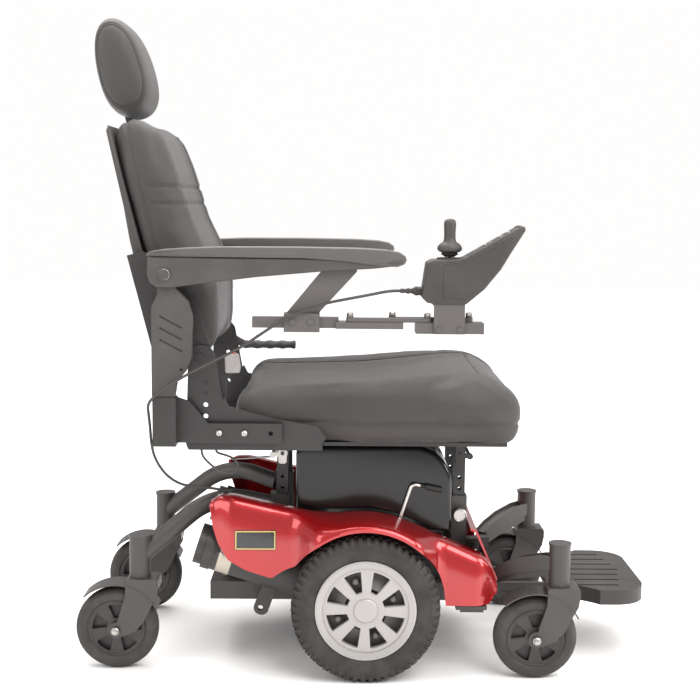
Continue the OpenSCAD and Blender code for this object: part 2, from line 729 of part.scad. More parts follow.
module seat_cushion() color(vinyl) {
  half = seat_w / 2;
  nose_r = seat_thick / 2;
  bolster_r = 40;
  bolster_y = half - bolster_r;
  bolster_z = pan_top + seat_thick - 26;
  difference() {
    union() {
      slab(-half, half) {
        translate([cushion_rear, pan_top]) square([seat_front - nose_r - cushion_rear, seat_thick - 30]);
        translate([cushion_rear + 20, pan_top]) square([seat_front - nose_r - cushion_rear - 20, seat_thick - 26]);
        translate([seat_front - nose_r, pan_top + nose_r]) circle(nose_r - 4);
      }
      slab(-bolster_y, bolster_y) {
        translate([cushion_rear, pan_top]) square([seat_front - nose_r - cushion_rear, seat_thick]);
        translate([seat_front - nose_r, pan_top + nose_r]) circle(nose_r);
      }
      for (y = [-bolster_y, bolster_y]) translate([cushion_rear, y, bolster_z]) rotate([0, 90, 0])
        cylinder(h = seat_front - nose_r - cushion_rear + 10, r = bolster_r);
    }
    for (s = [-1, 1]) on_side(s)
      block([cushion_rear - 1, -half - 1, pan_top - 1], [-80, -plate_in + 2, pan_top + 84]);
  }
}

// ---------- backrest: drawn with u up the back and v towards the sitter ----------

module in_back() {
  translate([recline[0], 0, recline[1]]) rotate([0, -back_lean, 0]) children();
}

back_low = -20;
shell_v = [-88, -66];
guide_half = [20, 11.5];
guide_v = -54.5;
post_half = [17, 5.7];

module back_side(side) on_side(side) {
  y_in = plate_in - face_gap;
  difference() {
    slab(-y_in, -y_in + 7) union() {
      circle(26);
      polygon([[-26, 0], [26, 0], [22, 90], [4, 190], [-60, 240], [-94, 240], [-94, 40], [-40, 10]]);
    }
    across([0, 0], -y_in - 1, -y_in + 8, recline_pin_r + run_gap);
    for (u = [50 : 24 : 200]) across([-20, u], -y_in - 1, -y_in + 8, 5);
  }
}

module back_frame() color(charcoal) in_back() {
  y_in = plate_in - face_gap;
  back_side(RIGHT);
  back_side(LEFT);
  for (u = [50, 200]) block([shell_v[0] - 6, -y_in, u], [shell_v[0], y_in, u + 30]);
}

module back_shell() color(black_plastic) in_back() {
  half = back_w / 2 - 14;
  guide_low = back_len - 260;
  top = back_low + back_len - 20;
  difference() {
    union() {
      translate([shell_v[1], 0, 0]) rotate([0, -90, 0]) linear_extrude(shell_v[1] - shell_v[0])
        rounded([[back_low + 60, -half + 40], [top - 40, -half + 40], [top - 40, half - 40], [back_low + 60, half - 40]], 40);
      block([guide_v - guide_half[1], -guide_half[0], guide_low], [guide_v + guide_half[1], guide_half[0], top]);
    }
    block([guide_v - post_half[1] - face_gap, -post_half[0] - face_gap, guide_low - 1],
          [guide_v + post_half[1] + face_gap, post_half[0] + face_gap, top + 1]);
  }
}

module back_cushion() color(vinyl) in_back() {
  half = back_w / 2;
  top = back_low + back_len;
  difference() {
    slab(-half, half)
      polygon([[shell_v[1], back_low], [28, back_low], [48, 30], [68, 90], [75, 140], [69, 212], [55, 290],
               [49, top - 147], [40, top - 60], [22, top - 14], [-10, top], [shell_v[1] + 12, top], [shell_v[1], top - 12]]);
    block([shell_v[1] - 1, -guide_half[0] - 0.5, back_len - 262],
          [guide_v + guide_half[1] + 0.5, guide_half[0] + 0.5, top + 1]);
  }
}

module headrest_post() color(charcoal) in_back() {
  low = back_len - 200;
  block([guide_v - post_half[1], -post_half[0], low], [guide_v + post_half[1], post_half[0], low + 290]);
  block([guide_v - 16, -34, back_len - 17], [guide_v + 22, 34, back_len - 3]);
}

module headrest_cushion() color(vinyl) in_back() {
  low = back_low + back_len + 4;
  slab(-head_w / 2, head_w / 2) hull() {
    translate([-34, low + 42]) circle(41, $fn = 32);
    translate([-30, low + 104]) circle(64, $fn = 32);
    translate([-34, low + 168]) circle(46, $fn = 32);
  }
}

module recline_lever() color(black_plastic) {
  y = plate_in + plate_wall + face_gap;
  difference() {
    across([-330, 672], y, y + 8, 14);
    across([-330, 672], y - 1, y + 9, 6 + run_gap);
  }
  slab(y, y + 8) rounded([[-318, 664], [-296, 652], [-296, 656], [-318, 674]], 3);
  bar([-300, y + 8, 654], [-170, y + 8, 662], 20);
}

// ---------- armrests ----------

module arm_post(side) color(charcoal) on_side(side) {
  half = arm_tube[1] / 2 + 0.6;
  difference() {
    union() {
      block([arm_tube_x - arm_tube[0] / 2, -arm_y - arm_tube[1] / 2, 526],
            [arm_tube_x + arm_tube[0] / 2, -arm_y + arm_tube[1] / 2, 640]);
      slab(-arm_y - half, -arm_y + half) union() {
        polygon([[-445, 616], [-398, 616], [-393, 648], [-376, 666], [-363, 696], [-361, 780], [-370, 812],
                 [-390, 834], [-400, 846], [-398, 868], [-434, 868], [-432, 826], [-445, 800]]);
        translate(arm_hinge) circle(18);
      }
    }
    for (i = [0 : 2]) translate([-405, -arm_y - half, 770 - i * 24]) rotate([0, 28, 0])
      cube([52, 6, 4], center = true);
    across([-384, 672], -arm_y - half - 1, -arm_y - half + 4, 3.5);
  }
  across(arm_hinge, -arm_y - frame_w / 2 - 4, -arm_y + frame_w / 2 + 4, arm_hinge_r);
  across(arm_hinge, -arm_y - frame_w / 2 - 7, -arm_y - frame_w / 2 - face_gap, 11);
}

module arm_frame(side) color(charcoal) on_side(side) {
  half = frame_w / 2;
  difference() {
    slab(-arm_y - half, -arm_y + half)
      polygon([[-450, frame_top], [-451, 870], [-446, 852], [-432, 842], [-400, 841], [-330, 851], [-230, 864],
               [-100, 876], [10, 883], [52, 888], [66, 895], [70, frame_top]]);
    block([-470, -arm_y - cheek_gap, 820], [-374, -arm_y + cheek_gap, 892]);
    across(arm_hinge, -arm_y - half - 1, -arm_y + half + 1, arm_hinge_r + run_gap);
  }
}

module arm_pad(side) color(vinyl) on_side(side) {
  half = pad_w / 2;
  end_r = 22;
  translate([0, -arm_y, frame_top]) linear_extrude(pad_top - frame_top)
    rounded([[pad_rear + end_r, -half + end_r], [pad_rear + pad_len - end_r, -half + end_r],
             [pad_rear + pad_len - end_r, half - end_r], [pad_rear + end_r, half - end_r]], end_r);
}

// ---------- controller ----------

// Underside of the arm frame between X -100 and 10, where the bracket's web is screwed
function frame_under(x) = 876 + (x + 100) * 7 / 110;

module controller_bracket() color(charcoal) {
  hole = bar_side / 2 + face_gap;
  clamp = [-174, -101];
  difference() {
    union() {
      block([clamp[0], bar_y - 19, bar_z - 19], [clamp[1], bar_y + 19, bar_z + 19]);
      slab(bar_y - 6, bar_y + 6)
        polygon([[-98, frame_under(-98)], [-25, frame_under(-25)], [-25, frame_under(-25) - 5],
                 [-104, bar_z + 18], [-170, bar_z + 18]]);
    }
    block([clamp[0] - 1, bar_y - hole, bar_z - hole], [clamp[1] + 1, bar_y + hole, bar_z + hole]);
  }
  for (x = [-156, -119]) across([x, bar_z + 2], bar_y - 22, bar_y - 18, 6);
}

module swing_pin(at, low, r) {
  translate([at[0], at[1], low]) cylinder(h = link_z[1] + face_gap - low + 0.5, r = r);
  translate([at[0], at[1], link_z[1] + face_gap]) cylinder(h = 4, r = 7);
}

module slide_bar() color(charcoal) {
  half = bar_side / 2;
  plate_top = link_z[0] - face_gap;
  block([-239, bar_y - half, bar_z - half], [-62, bar_y + half, bar_z + half]);
  block([-68, bar_y - 24, plate_top - 13], [70, bar_y + 24, plate_top]);
  swing_pin(pin_a, plate_top - 13, pin_r);
  swing_pin(pin_b, plate_top - 13, pin_r);
}

module link(from, to, free_gap) {
  difference() {
    translate([0, 0, link_z[0]]) linear_extrude(link_z[1] - link_z[0])
      rounded([from, to, (from + to) / 2 + [0, eps]], link_w / 2);
    translate([from[0], from[1], link_z[0] - 1]) cylinder(h = 20, r = pin_r + run_gap);
    translate([to[0], to[1], link_z[0] - 1]) cylinder(h = 20, r = pin_r + free_gap);
  }
}

module outer_link() color(charcoal) link(pin_a, pin_c, run_gap);

module inner_link() color(charcoal) link(pin_b, pin_d, 0.3);

module controller_mount() color(charcoal) {
  plate_top = link_z[0] - face_gap;
  x0 = pin_c[0] - 24;
  x1 = pin_d[0] + 28;
  block([x0, bar_y - 24, plate_top - 22], [x1, bar_y + 24, plate_top]);
  swing_pin(pin_c, plate_top - 13, pin_r);
  swing_pin(pin_d, plate_top - 13, pin_r);
  block([x0 + 36, bar_y - 30, plate_top - 22], [x0 + 99, bar_y - 24 + eps, 812]);
  block([x0 + 36, bar_y - 30, 808], [x0 + 99, bar_y + 20, 812]);
  for (x = [x0 + 46, x0 + 89]) across([x, 760], bar_y - 33, bar_y - 29, 5.5);
}

module case_outline() {
  polygon([[106, 824], [116, 815], [134, 812], [196, 812], [232, 842], [266, 884], [286, 918], [314, 963],
           [313, 970], [306, 972], [192, 907], [180, 904], [128, 902], [117, 897]]);
}

module key_hole(x, y, depth) {
  z = 907 + (x - 192) * tan(key_slope);
  translate([x, y, z]) rotate([0, -key_slope, 0]) translate([0, 0, -depth]) children();
}

module controller_case() color(black_plastic) {
  half = case_w / 2;
  recess_r = 27;
  floor_z = stick[1] - 8.6;
  difference() {
    slab(bar_y - half, bar_y + half) case_outline();
    translate([stick[0], bar_y, floor_z]) cylinder(h = 60, r = recess_r);
    for (k = key_places) key_hole(k[0], k[1], 8) cylinder(h = 20, r = key_r + face_gap);
  }
  // Plug of the lead, with its strain relief
  translate([64, bar_y, 837]) rotate([0, 90, 0]) {
    cylinder(h = 26, r1 = 4.5, r2 = 7);
    translate([0, 0, 26 - eps]) cylinder(h = 20, r = 9);
  }
  // Socket that the joystick's ball turns in
  translate([stick[0], bar_y, floor_z - eps]) difference() {
    cylinder(h = 6, r = 7);
    translate([0, 0, 8.6 + eps]) sphere(r = 8 + face_gap);
  }
}

module gimbal() color(silver) translate([stick[0], bar_y, stick[1]]) sphere(r = 8);

module joystick() color(black_plastic) translate([stick[0], bar_y, stick[1]]) rotate_extrude() polygon([
  [0, 8.3], [9, 8.3], [16.5, 14.5], [18, 16.5], [14, 17.5], [13, 18.3], [16, 19.3], [24, 22], [25.5, 25], [24, 30],
  [19, 35], [12.5, 39], [11.5, 54], [12.5, 74], [12, 80], [8, 84.5], [0, 86]]);

key_places = [[218, bar_y], [244, bar_y - 16], [244, bar_y + 16]];

module key(at) color(silver) key_hole(at[0], at[1], 4) cylinder(h = 4 + key_rise, r = key_r);

// ---------- lead and belt ----------

// Round the corners of a path by replacing each inner point with two, twice over
function cut_corners(p) = [
  p[0],
  for (i = [0 : len(p) - 2]) each [p[i] * 0.75 + p[i + 1] * 0.25, p[i] * 0.25 + p[i + 1] * 0.75],
  p[len(p) - 1]
];

function ahead(p, i) = let (a = p[max(i - 1, 0)], b = p[min(i + 1, len(p) - 1)]) (b - a) / norm(b - a);

function side_of(t) = let (c = cross(t, abs(t[2]) < 0.95 ? [0, 0, 1] : [1, 0, 0])) c / norm(c);

// Carry one side vector along the path so that the tube doesn't twist
function carried(p, i) = i == 0 ? side_of(ahead(p, 0)) :
  let (t = ahead(p, i), s = carried(p, i - 1), c = s - t * (s * t)) c / norm(c);

module tube(points, d, sides) {
  n = len(points);
  rings = [for (i = [0 : n - 1])
    let (t = ahead(points, i), s = carried(points, i), u = cross(t, s))
    for (k = [0 : sides - 1]) points[i] + (s * cos(360 * k / sides) + u * sin(360 * k / sides)) * d / 2];
  faces = concat(
    [[for (k = [0 : sides - 1]) k]],
    [for (i = [0 : n - 2], k = [0 : sides - 1])
      [i * sides + k, (i + 1) * sides + k, (i + 1) * sides + (k + 1) % sides, i * sides + (k + 1) % sides]],
    [[for (k = [sides - 1 : -1 : 0]) (n - 1) * sides + k]]);
  polyhedron(rings, faces, convexity = 6);
}

module controller_cable() color(rubber) {
  tube(cut_corners(cable_points), cable_d, 8);
  tube(loop_points, cable_d - 1, 8);
}

module seat_belt() color(black_plastic) {
  web_y = -plate_in + 6;
  slab(web_y - 2, web_y) polygon([[-328, 575], [-296, 575], [-294, 646], [-276, 661], [-302, 664]]);
  slab(web_y - 8, web_y + 8) rounded([[-298, 658], [-268, 658], [-271, 700], [-301, 700]], 4);
}

chassis_frame();
batteries();
power_module();
gearmotors();
rear_arms();
battery_cover();
front_cover();
shroud(RIGHT);  // shroud_right
shroud(LEFT);  // shroud_left
freewheel_lever(RIGHT);  // freewheel_lever_right
freewheel_lever(LEFT);  // freewheel_lever_left
drive_tyre(RIGHT);  // drive_tyre_right
drive_tyre(LEFT);  // drive_tyre_left
drive_rim(RIGHT);  // drive_rim_right
drive_rim(LEFT);  // drive_rim_left
front_arm(RIGHT);  // front_arm_right
front_arm(LEFT);  // front_arm_left
caster_fork(front_stem, RIGHT);  // caster_fork_front_right
caster_fork(front_stem, LEFT);  // caster_fork_front_left
caster_fork(rear_stem, RIGHT);  // caster_fork_rear_right
caster_fork(rear_stem, LEFT);  // caster_fork_rear_left
caster_tyre(front_stem, RIGHT);  // caster_tyre_front_right
caster_tyre(front_stem, LEFT);  // caster_tyre_front_left
caster_tyre(rear_stem, RIGHT);  // caster_tyre_rear_right
caster_tyre(rear_stem, LEFT);  // caster_tyre_rear_left
caster_rim(front_stem, RIGHT);  // caster_rim_front_right
caster_rim(front_stem, LEFT);  // caster_rim_front_left
caster_rim(rear_stem, RIGHT);  // caster_rim_rear_right
caster_rim(rear_stem, LEFT);  // caster_rim_rear_left
footplate();
seat_posts();
seat_frame();
seat_cushion();
front_latch();
rear_latch();
back_frame();
back_shell();
back_cushion();
recline_lever();
headrest_post();
headrest_cushion();
arm_post(RIGHT);  // arm_post_right
arm_post(LEFT);  // arm_post_left
arm_frame(RIGHT);  // arm_frame_right
arm_frame(LEFT);  // arm_frame_left
arm_pad(RIGHT);  // arm_pad_right
arm_pad(LEFT);  // arm_pad_left
controller_bracket();
slide_bar();
outer_link();
inner_link();
controller_mount();
controller_case();
gimbal();
joystick();
key(key_places[0]);  // key_power
key(key_places[1]);  // key_horn
key(key_places[2]);  // key_speed
controller_cable();
seat_belt();
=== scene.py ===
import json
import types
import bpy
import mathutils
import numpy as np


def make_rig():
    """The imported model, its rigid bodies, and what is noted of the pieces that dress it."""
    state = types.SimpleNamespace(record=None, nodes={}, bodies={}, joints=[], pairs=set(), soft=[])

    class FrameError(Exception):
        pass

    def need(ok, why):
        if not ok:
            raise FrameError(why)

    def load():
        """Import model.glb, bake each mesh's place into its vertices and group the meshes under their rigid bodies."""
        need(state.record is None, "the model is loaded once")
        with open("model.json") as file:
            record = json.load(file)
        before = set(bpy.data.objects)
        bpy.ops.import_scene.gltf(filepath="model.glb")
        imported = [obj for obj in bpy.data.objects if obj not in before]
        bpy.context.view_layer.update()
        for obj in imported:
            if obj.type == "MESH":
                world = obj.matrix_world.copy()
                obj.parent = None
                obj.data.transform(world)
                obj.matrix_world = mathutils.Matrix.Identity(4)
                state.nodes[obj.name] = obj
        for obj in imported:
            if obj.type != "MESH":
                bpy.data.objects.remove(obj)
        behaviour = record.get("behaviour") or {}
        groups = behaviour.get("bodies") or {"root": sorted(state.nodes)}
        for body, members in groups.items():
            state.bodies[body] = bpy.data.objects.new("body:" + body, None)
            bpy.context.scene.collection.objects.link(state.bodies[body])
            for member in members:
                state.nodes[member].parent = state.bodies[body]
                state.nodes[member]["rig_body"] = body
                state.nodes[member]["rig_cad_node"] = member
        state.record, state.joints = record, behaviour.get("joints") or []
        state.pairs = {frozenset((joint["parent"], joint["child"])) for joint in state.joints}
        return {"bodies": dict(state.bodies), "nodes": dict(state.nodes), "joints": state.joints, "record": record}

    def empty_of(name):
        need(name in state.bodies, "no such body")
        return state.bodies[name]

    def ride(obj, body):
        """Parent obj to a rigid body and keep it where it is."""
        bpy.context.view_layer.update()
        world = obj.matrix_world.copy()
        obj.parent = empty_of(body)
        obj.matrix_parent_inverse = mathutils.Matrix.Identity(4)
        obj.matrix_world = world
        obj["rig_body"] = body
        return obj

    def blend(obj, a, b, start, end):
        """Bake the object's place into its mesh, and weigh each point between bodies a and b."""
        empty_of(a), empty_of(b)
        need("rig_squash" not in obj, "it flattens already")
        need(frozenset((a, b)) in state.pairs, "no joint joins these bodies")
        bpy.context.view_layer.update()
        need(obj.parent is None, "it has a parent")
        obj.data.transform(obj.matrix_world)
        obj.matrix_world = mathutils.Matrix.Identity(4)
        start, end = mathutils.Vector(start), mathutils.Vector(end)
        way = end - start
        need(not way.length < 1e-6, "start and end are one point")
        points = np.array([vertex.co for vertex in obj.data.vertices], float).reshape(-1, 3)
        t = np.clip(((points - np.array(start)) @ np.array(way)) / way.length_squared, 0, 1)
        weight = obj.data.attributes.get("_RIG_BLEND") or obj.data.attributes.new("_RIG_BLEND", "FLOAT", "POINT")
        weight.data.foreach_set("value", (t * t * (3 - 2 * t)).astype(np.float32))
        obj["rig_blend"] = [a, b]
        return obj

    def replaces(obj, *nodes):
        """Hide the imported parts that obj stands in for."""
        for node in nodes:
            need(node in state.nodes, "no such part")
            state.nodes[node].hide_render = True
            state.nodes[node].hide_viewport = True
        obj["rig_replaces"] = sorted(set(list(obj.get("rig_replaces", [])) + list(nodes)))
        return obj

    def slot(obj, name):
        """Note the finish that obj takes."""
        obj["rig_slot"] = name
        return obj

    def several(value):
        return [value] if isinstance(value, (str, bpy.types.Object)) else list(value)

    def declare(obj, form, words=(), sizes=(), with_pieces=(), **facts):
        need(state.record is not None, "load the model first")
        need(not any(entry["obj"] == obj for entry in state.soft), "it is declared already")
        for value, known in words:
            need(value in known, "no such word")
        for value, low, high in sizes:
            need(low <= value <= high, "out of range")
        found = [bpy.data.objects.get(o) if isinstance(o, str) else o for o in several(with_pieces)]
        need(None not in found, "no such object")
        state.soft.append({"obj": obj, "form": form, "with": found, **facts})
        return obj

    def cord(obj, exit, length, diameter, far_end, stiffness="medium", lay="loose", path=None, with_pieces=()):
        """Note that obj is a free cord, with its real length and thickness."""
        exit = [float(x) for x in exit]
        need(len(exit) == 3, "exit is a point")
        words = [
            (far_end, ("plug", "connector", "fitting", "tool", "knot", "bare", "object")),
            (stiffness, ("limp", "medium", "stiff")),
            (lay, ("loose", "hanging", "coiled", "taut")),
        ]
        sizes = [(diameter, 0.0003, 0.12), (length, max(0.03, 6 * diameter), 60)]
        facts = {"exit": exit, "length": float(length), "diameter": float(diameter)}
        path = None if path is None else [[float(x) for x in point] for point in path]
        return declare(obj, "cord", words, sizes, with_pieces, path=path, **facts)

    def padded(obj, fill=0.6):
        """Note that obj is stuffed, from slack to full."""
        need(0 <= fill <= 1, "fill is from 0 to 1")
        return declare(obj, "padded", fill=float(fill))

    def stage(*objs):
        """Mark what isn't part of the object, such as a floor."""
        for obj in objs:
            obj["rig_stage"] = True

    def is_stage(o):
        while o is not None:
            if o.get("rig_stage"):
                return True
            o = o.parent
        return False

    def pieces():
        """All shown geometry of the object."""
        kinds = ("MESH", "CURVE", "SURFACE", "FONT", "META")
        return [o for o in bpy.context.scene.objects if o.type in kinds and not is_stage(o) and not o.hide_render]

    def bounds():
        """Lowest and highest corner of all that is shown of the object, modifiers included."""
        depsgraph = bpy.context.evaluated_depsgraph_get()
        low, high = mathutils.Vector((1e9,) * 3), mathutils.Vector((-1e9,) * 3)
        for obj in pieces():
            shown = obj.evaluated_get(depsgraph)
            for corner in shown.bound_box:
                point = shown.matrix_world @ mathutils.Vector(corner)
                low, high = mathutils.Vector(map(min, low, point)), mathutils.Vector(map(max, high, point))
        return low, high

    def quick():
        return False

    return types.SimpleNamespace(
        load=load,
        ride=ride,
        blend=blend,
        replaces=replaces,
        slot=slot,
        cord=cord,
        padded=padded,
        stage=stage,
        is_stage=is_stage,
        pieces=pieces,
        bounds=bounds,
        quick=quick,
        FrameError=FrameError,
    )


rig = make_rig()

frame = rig.load()
cad_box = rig.bounds()

import json
import math

import bpy
from mathutils import Matrix, Vector

# ---------------------------------------------------------------- studio
# A white sweep under soft lights that also glows with painted light away from the chair, and a long lens level with
# the seat, square to the chair's side.
nodes = frame["nodes"]
scene = bpy.context.scene
for lamp, place, aim, size, power in (
        ("key", (1.6, -2.4, 3.4), (0, 0, 0.5), 2.6, 150),
        ("fill", (-2.8, -2.2, 2.0), (-0.1, 0, 0.7), 2.4, 60),
        ("front", (3.2, -0.6, 1.7), (0.1, 0, 0.6), 1.8, 65),
        ("top", (-0.3, 0.8, 3.6), (0, 0, 0.6), 3.4, 190)):
    bpy.ops.object.light_add(type="AREA", location=place)
    light = bpy.context.object
    light.name = lamp + "_light"
    light.data.size = size
    light.data.energy = power
    light.data.color = (1.0, 0.985, 0.97)
    light.rotation_euler = (Vector(aim) - Vector(place)).to_track_quat("-Z", "Y").to_euler()
world = bpy.data.worlds.new("studio")
scene.world = world
world.use_nodes = True
sky = world.node_tree.nodes["Background"]
sky.inputs["Color"].default_value = (1.0, 0.99, 0.985, 1)
seen = world.node_tree.nodes.new("ShaderNodeLightPath").outputs["Is Camera Ray"]
strength = world.node_tree.nodes.new("ShaderNodeMapRange")
strength.inputs["To Min"].default_value = 0.56
strength.inputs["To Max"].default_value = 1.0
world.node_tree.links.new(seen, strength.inputs["Value"])
world.node_tree.links.new(strength.outputs["Result"], sky.inputs["Strength"])
scene.view_settings.view_transform = "Standard"

bpy.ops.mesh.primitive_plane_add(size=24, location=(0, 0, 0))
floor = bpy.context.object
floor.name = "floor"
paint = bpy.data.materials.new("white_sweep")
paint.use_nodes = True
surface = paint.node_tree.nodes["Principled BSDF"]
surface.inputs["Base Color"].default_value = (0.93, 0.925, 0.92, 1)
surface.inputs["Roughness"].default_value = 0.6
surface.inputs["Emission Strength"].default_value = 1.0
# Painted light: the floor glows, from nothing within 0.7 m of the middle to 0.62 at 3.4 m out, so it turns whiter away
# from the chair.
spot = paint.node_tree.nodes.new("ShaderNodeTexCoord").outputs["Object"]
reach = paint.node_tree.nodes.new("ShaderNodeVectorMath")
reach.operation = "LENGTH"
glow = paint.node_tree.nodes.new("ShaderNodeMapRange")
glow.interpolation_type = "SMOOTHSTEP"
for socket, value in (("From Min", 0.7), ("From Max", 3.4), ("To Min", 0.0), ("To Max", 0.62)):
    glow.inputs[socket].default_value = value
paint.node_tree.links.new(spot, reach.inputs[0])
paint.node_tree.links.new(reach.outputs["Value"], glow.inputs["Value"])
paint.node_tree.links.new(glow.outputs["Result"], surface.inputs["Emission Color"])
floor.data.materials.append(paint)
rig.stage(floor)

bpy.ops.object.camera_add(location=(-0.057, -2.976, 1.021))
camera = bpy.context.object
camera.data.lens = 67.0
camera.data.sensor_width = 36.0
camera.rotation_euler = (math.radians(90 - 6.57), math.radians(-0.5), math.radians(-0.35))
camera.data.clip_start = 0.05
scene.camera = camera


# ---------------------------------------------------------------- the controller's lead
# A 6 mm round cable with a soft black jacket. It runs from the controller's case along the arm,
# down behind the arm post and into the base, and a spare loop hangs under the seat rail.
class Value:
    """A socket that adds Math nodes when it is used in an expression."""

    def __init__(self, tree, socket):
        self.tree = tree
        self.socket = socket

    def maths(self, operation, *terms):
        node = self.tree.nodes.new("ShaderNodeMath")
        node.operation = operation
        for place, term in enumerate(terms):
            if isinstance(term, Value):
                self.tree.links.new(term.socket, node.inputs[place])
            else:
                node.inputs[place].default_value = term
        return Value(self.tree, node.outputs[0])

    def __add__(self, other):
        return self.maths("ADD", self, other)

    def __radd__(self, other):
        return self.maths("ADD", other, self)

    def __sub__(self, other):
        return self.maths("SUBTRACT", self, other)

    def __rsub__(self, other):
        return self.maths("SUBTRACT", other, self)

    def __mul__(self, other):
        return self.maths("MULTIPLY", self, other)

    def __rmul__(self, other):
        return self.maths("MULTIPLY", other, self)

    def __truediv__(self, other):
        return self.maths("DIVIDE", self, other)

    def power(self, other):
        return self.maths("POWER", self, other)

    def sine(self):
        return self.maths("SINE", self)

    def size(self):
        return self.maths("ABSOLUTE", self)

    def above(self, other):
        return self.maths("GREATER_THAN", self, other)

    def below(self, other):
        return self.maths("LESS_THAN", self, other)

    def ramp(self, low, high):
        """0 at low, 1 at high, with soft ends."""
        node = self.tree.nodes.new("ShaderNodeMapRange")
        node.interpolation_type = "SMOOTHSTEP"
        self.tree.links.new(self.socket, node.inputs["Value"])
        node.inputs["From Min"].default_value = low
        node.inputs["From Max"].default_value = high
        return Value(self.tree, node.outputs["Result"])


class Finish:
    """A material with the named constants set on its shader, and helpers for what varies over it."""

    def __init__(self, name, colour, roughness, **constants):
        self.material = bpy.data.materials.new(name)
        self.material.use_nodes = True
        self.tree = self.material.node_tree
        self.shader = self.tree.nodes["Principled BSDF"]
        self.shader.inputs["Base Color"].default_value = (*colour, 1)
        self.shader.inputs["Roughness"].default_value = roughness
        for socket, value in constants.items():
            self.shader.inputs[socket.replace("_", " ")].default_value = value
        self.place = self.node("ShaderNodeTexCoord").outputs["Object"]

    def node(self, kind, settings=(), **sockets):
        node = self.tree.nodes.new(kind)
        for name, value in dict(settings).items():
            setattr(node, name, value)
        for name, value in sockets.items():
            socket = node.inputs[name.replace("_", " ")]
            if isinstance(value, Value):
                self.tree.links.new(value.socket, socket)
            elif isinstance(value, bpy.types.NodeSocket):
                self.tree.links.new(value, socket)
            else:
                socket.default_value = value
        return node

    def noise(self, scale, detail=2.0, roughness=0.5, stretch=(1, 1, 1)):
        turned = self.node("ShaderNodeMapping", Vector=self.place, Scale=stretch)
        node = self.node("ShaderNodeTexNoise", Vector=turned.outputs[0], Scale=scale, Detail=detail,
                         Roughness=roughness)
        return Value(self.tree, node.outputs["Fac"])

    def cells(self, scale, feature="F1"):
        node = self.node("ShaderNodeTexVoronoi", {"feature": feature}, Vector=self.place, Scale=scale)
        return Value(self.tree, node.outputs["Distance"])

    def axes(self):
        node = self.node("ShaderNodeSeparateXYZ", Vector=self.place)
        return [Value(self.tree, node.outputs[axis]) for axis in "XYZ"]

    def blend(self, mask, first, second):
        """A colour that goes from first to second with mask. Each is three numbers or a colour socket."""
        first = (*first, 1) if isinstance(first, tuple) else first
        second = (*second, 1) if isinstance(second, tuple) else second
        node = self.tree.nodes.new("ShaderNodeMix")
        node.data_type = "RGBA"
        self.tree.links.new(mask.socket, node.inputs["Factor"])
        for socket, value in ((node.inputs[6], first), (node.inputs[7], second)):
            if isinstance(value, tuple):
                socket.default_value = value
            else:
                self.tree.links.new(value, socket)
        return node.outputs[2]

    def feed(self, socket, value):
        source = value.socket if isinstance(value, Value) else value
        self.tree.links.new(source, self.shader.inputs[socket])

    def bump(self, height, distance, strength=1.0):
        node = self.node("ShaderNodeBump", Height=height, Distance=distance, Strength=strength)
        self.feed("Normal", node.outputs["Normal"])


def jacket():
    finish = Finish("cable_jacket", (0.03, 0.028, 0.027), 0.42, Specular_IOR_Level=0.5)
    scuff = finish.noise(260, 4)
    finish.feed("Base Color", finish.blend(scuff, (0.022, 0.020, 0.020), (0.05, 0.046, 0.044)))
    finish.feed("Roughness", 0.34 + scuff * 0.2)
    finish.bump(finish.noise(1800, 2), 0.0001)
    return finish.material


CABLE_D = 0.006
LOOP_D = 0.005
LEAD_POINTS = [
    (63.5, -312, 837), (50, -313, 837), (30, -318, 835), (0, -326, 829), (-40, -334, 822), (-100, -337, 810),
    (-170, -339, 781), (-215, -339, 752), (-259, -338, 721), (-318, -336, 691), (-376, -334, 661),
    (-418, -336, 634), (-443, -338, 614), (-453, -330, 598), (-453, -314, 576), (-451, -308, 546),
    (-450, -304, 516), (-445, -290, 480), (-427, -262, 440), (-400, -238, 414), (-366, -216, 403),
    (-322, -198, 396), (-290, -186, 382), (-272, -182, 352), (-262, -168, 320), (-258, -138, 308),
    (-258, -98, 292), (-258, -70, 262), (-258, -62, 240), (-258, -62, 226.3)]
LOOP_POINTS = [
    (-350, -262, 494.6), (-348, -262, 480), (-334, -262, 465), (-316, -262, 450), (-297, -262, 442),
    (-280, -262, 445), (-271, -261, 456), (-276, -259, 470), (-292, -257, 480), (-318, -256, 486),
    (-320, -256, 494.6)]
CABLE_JACKET = jacket()


def cut_corners(points):
    smooth = [points[0]]
    for a, b in zip(points, points[1:]):
        smooth += [a * 0.75 + b * 0.25, a * 0.25 + b * 0.75]
    return smooth + [points[-1]]


def drawn_length(points):
    return sum((b - a).length for a, b in zip(points, points[1:]))


def cable(name, points, thick):
    curve = bpy.data.curves.new(name, "CURVE")
    curve.dimensions = "3D"
    curve.bevel_depth = thick / 2
    curve.bevel_resolution = 5
    curve.use_fill_caps = True
    spline = curve.splines.new("POLY")
    spline.points.add(len(points) - 1)
    for slot, point in zip(spline.points, points):
        slot.co = (*point, 1)
    piece = bpy.data.objects.new(name, curve)
    scene.collection.objects.link(piece)
    curve.materials.append(CABLE_JACKET)
    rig.slot(piece, "cable_jacket")
    return piece


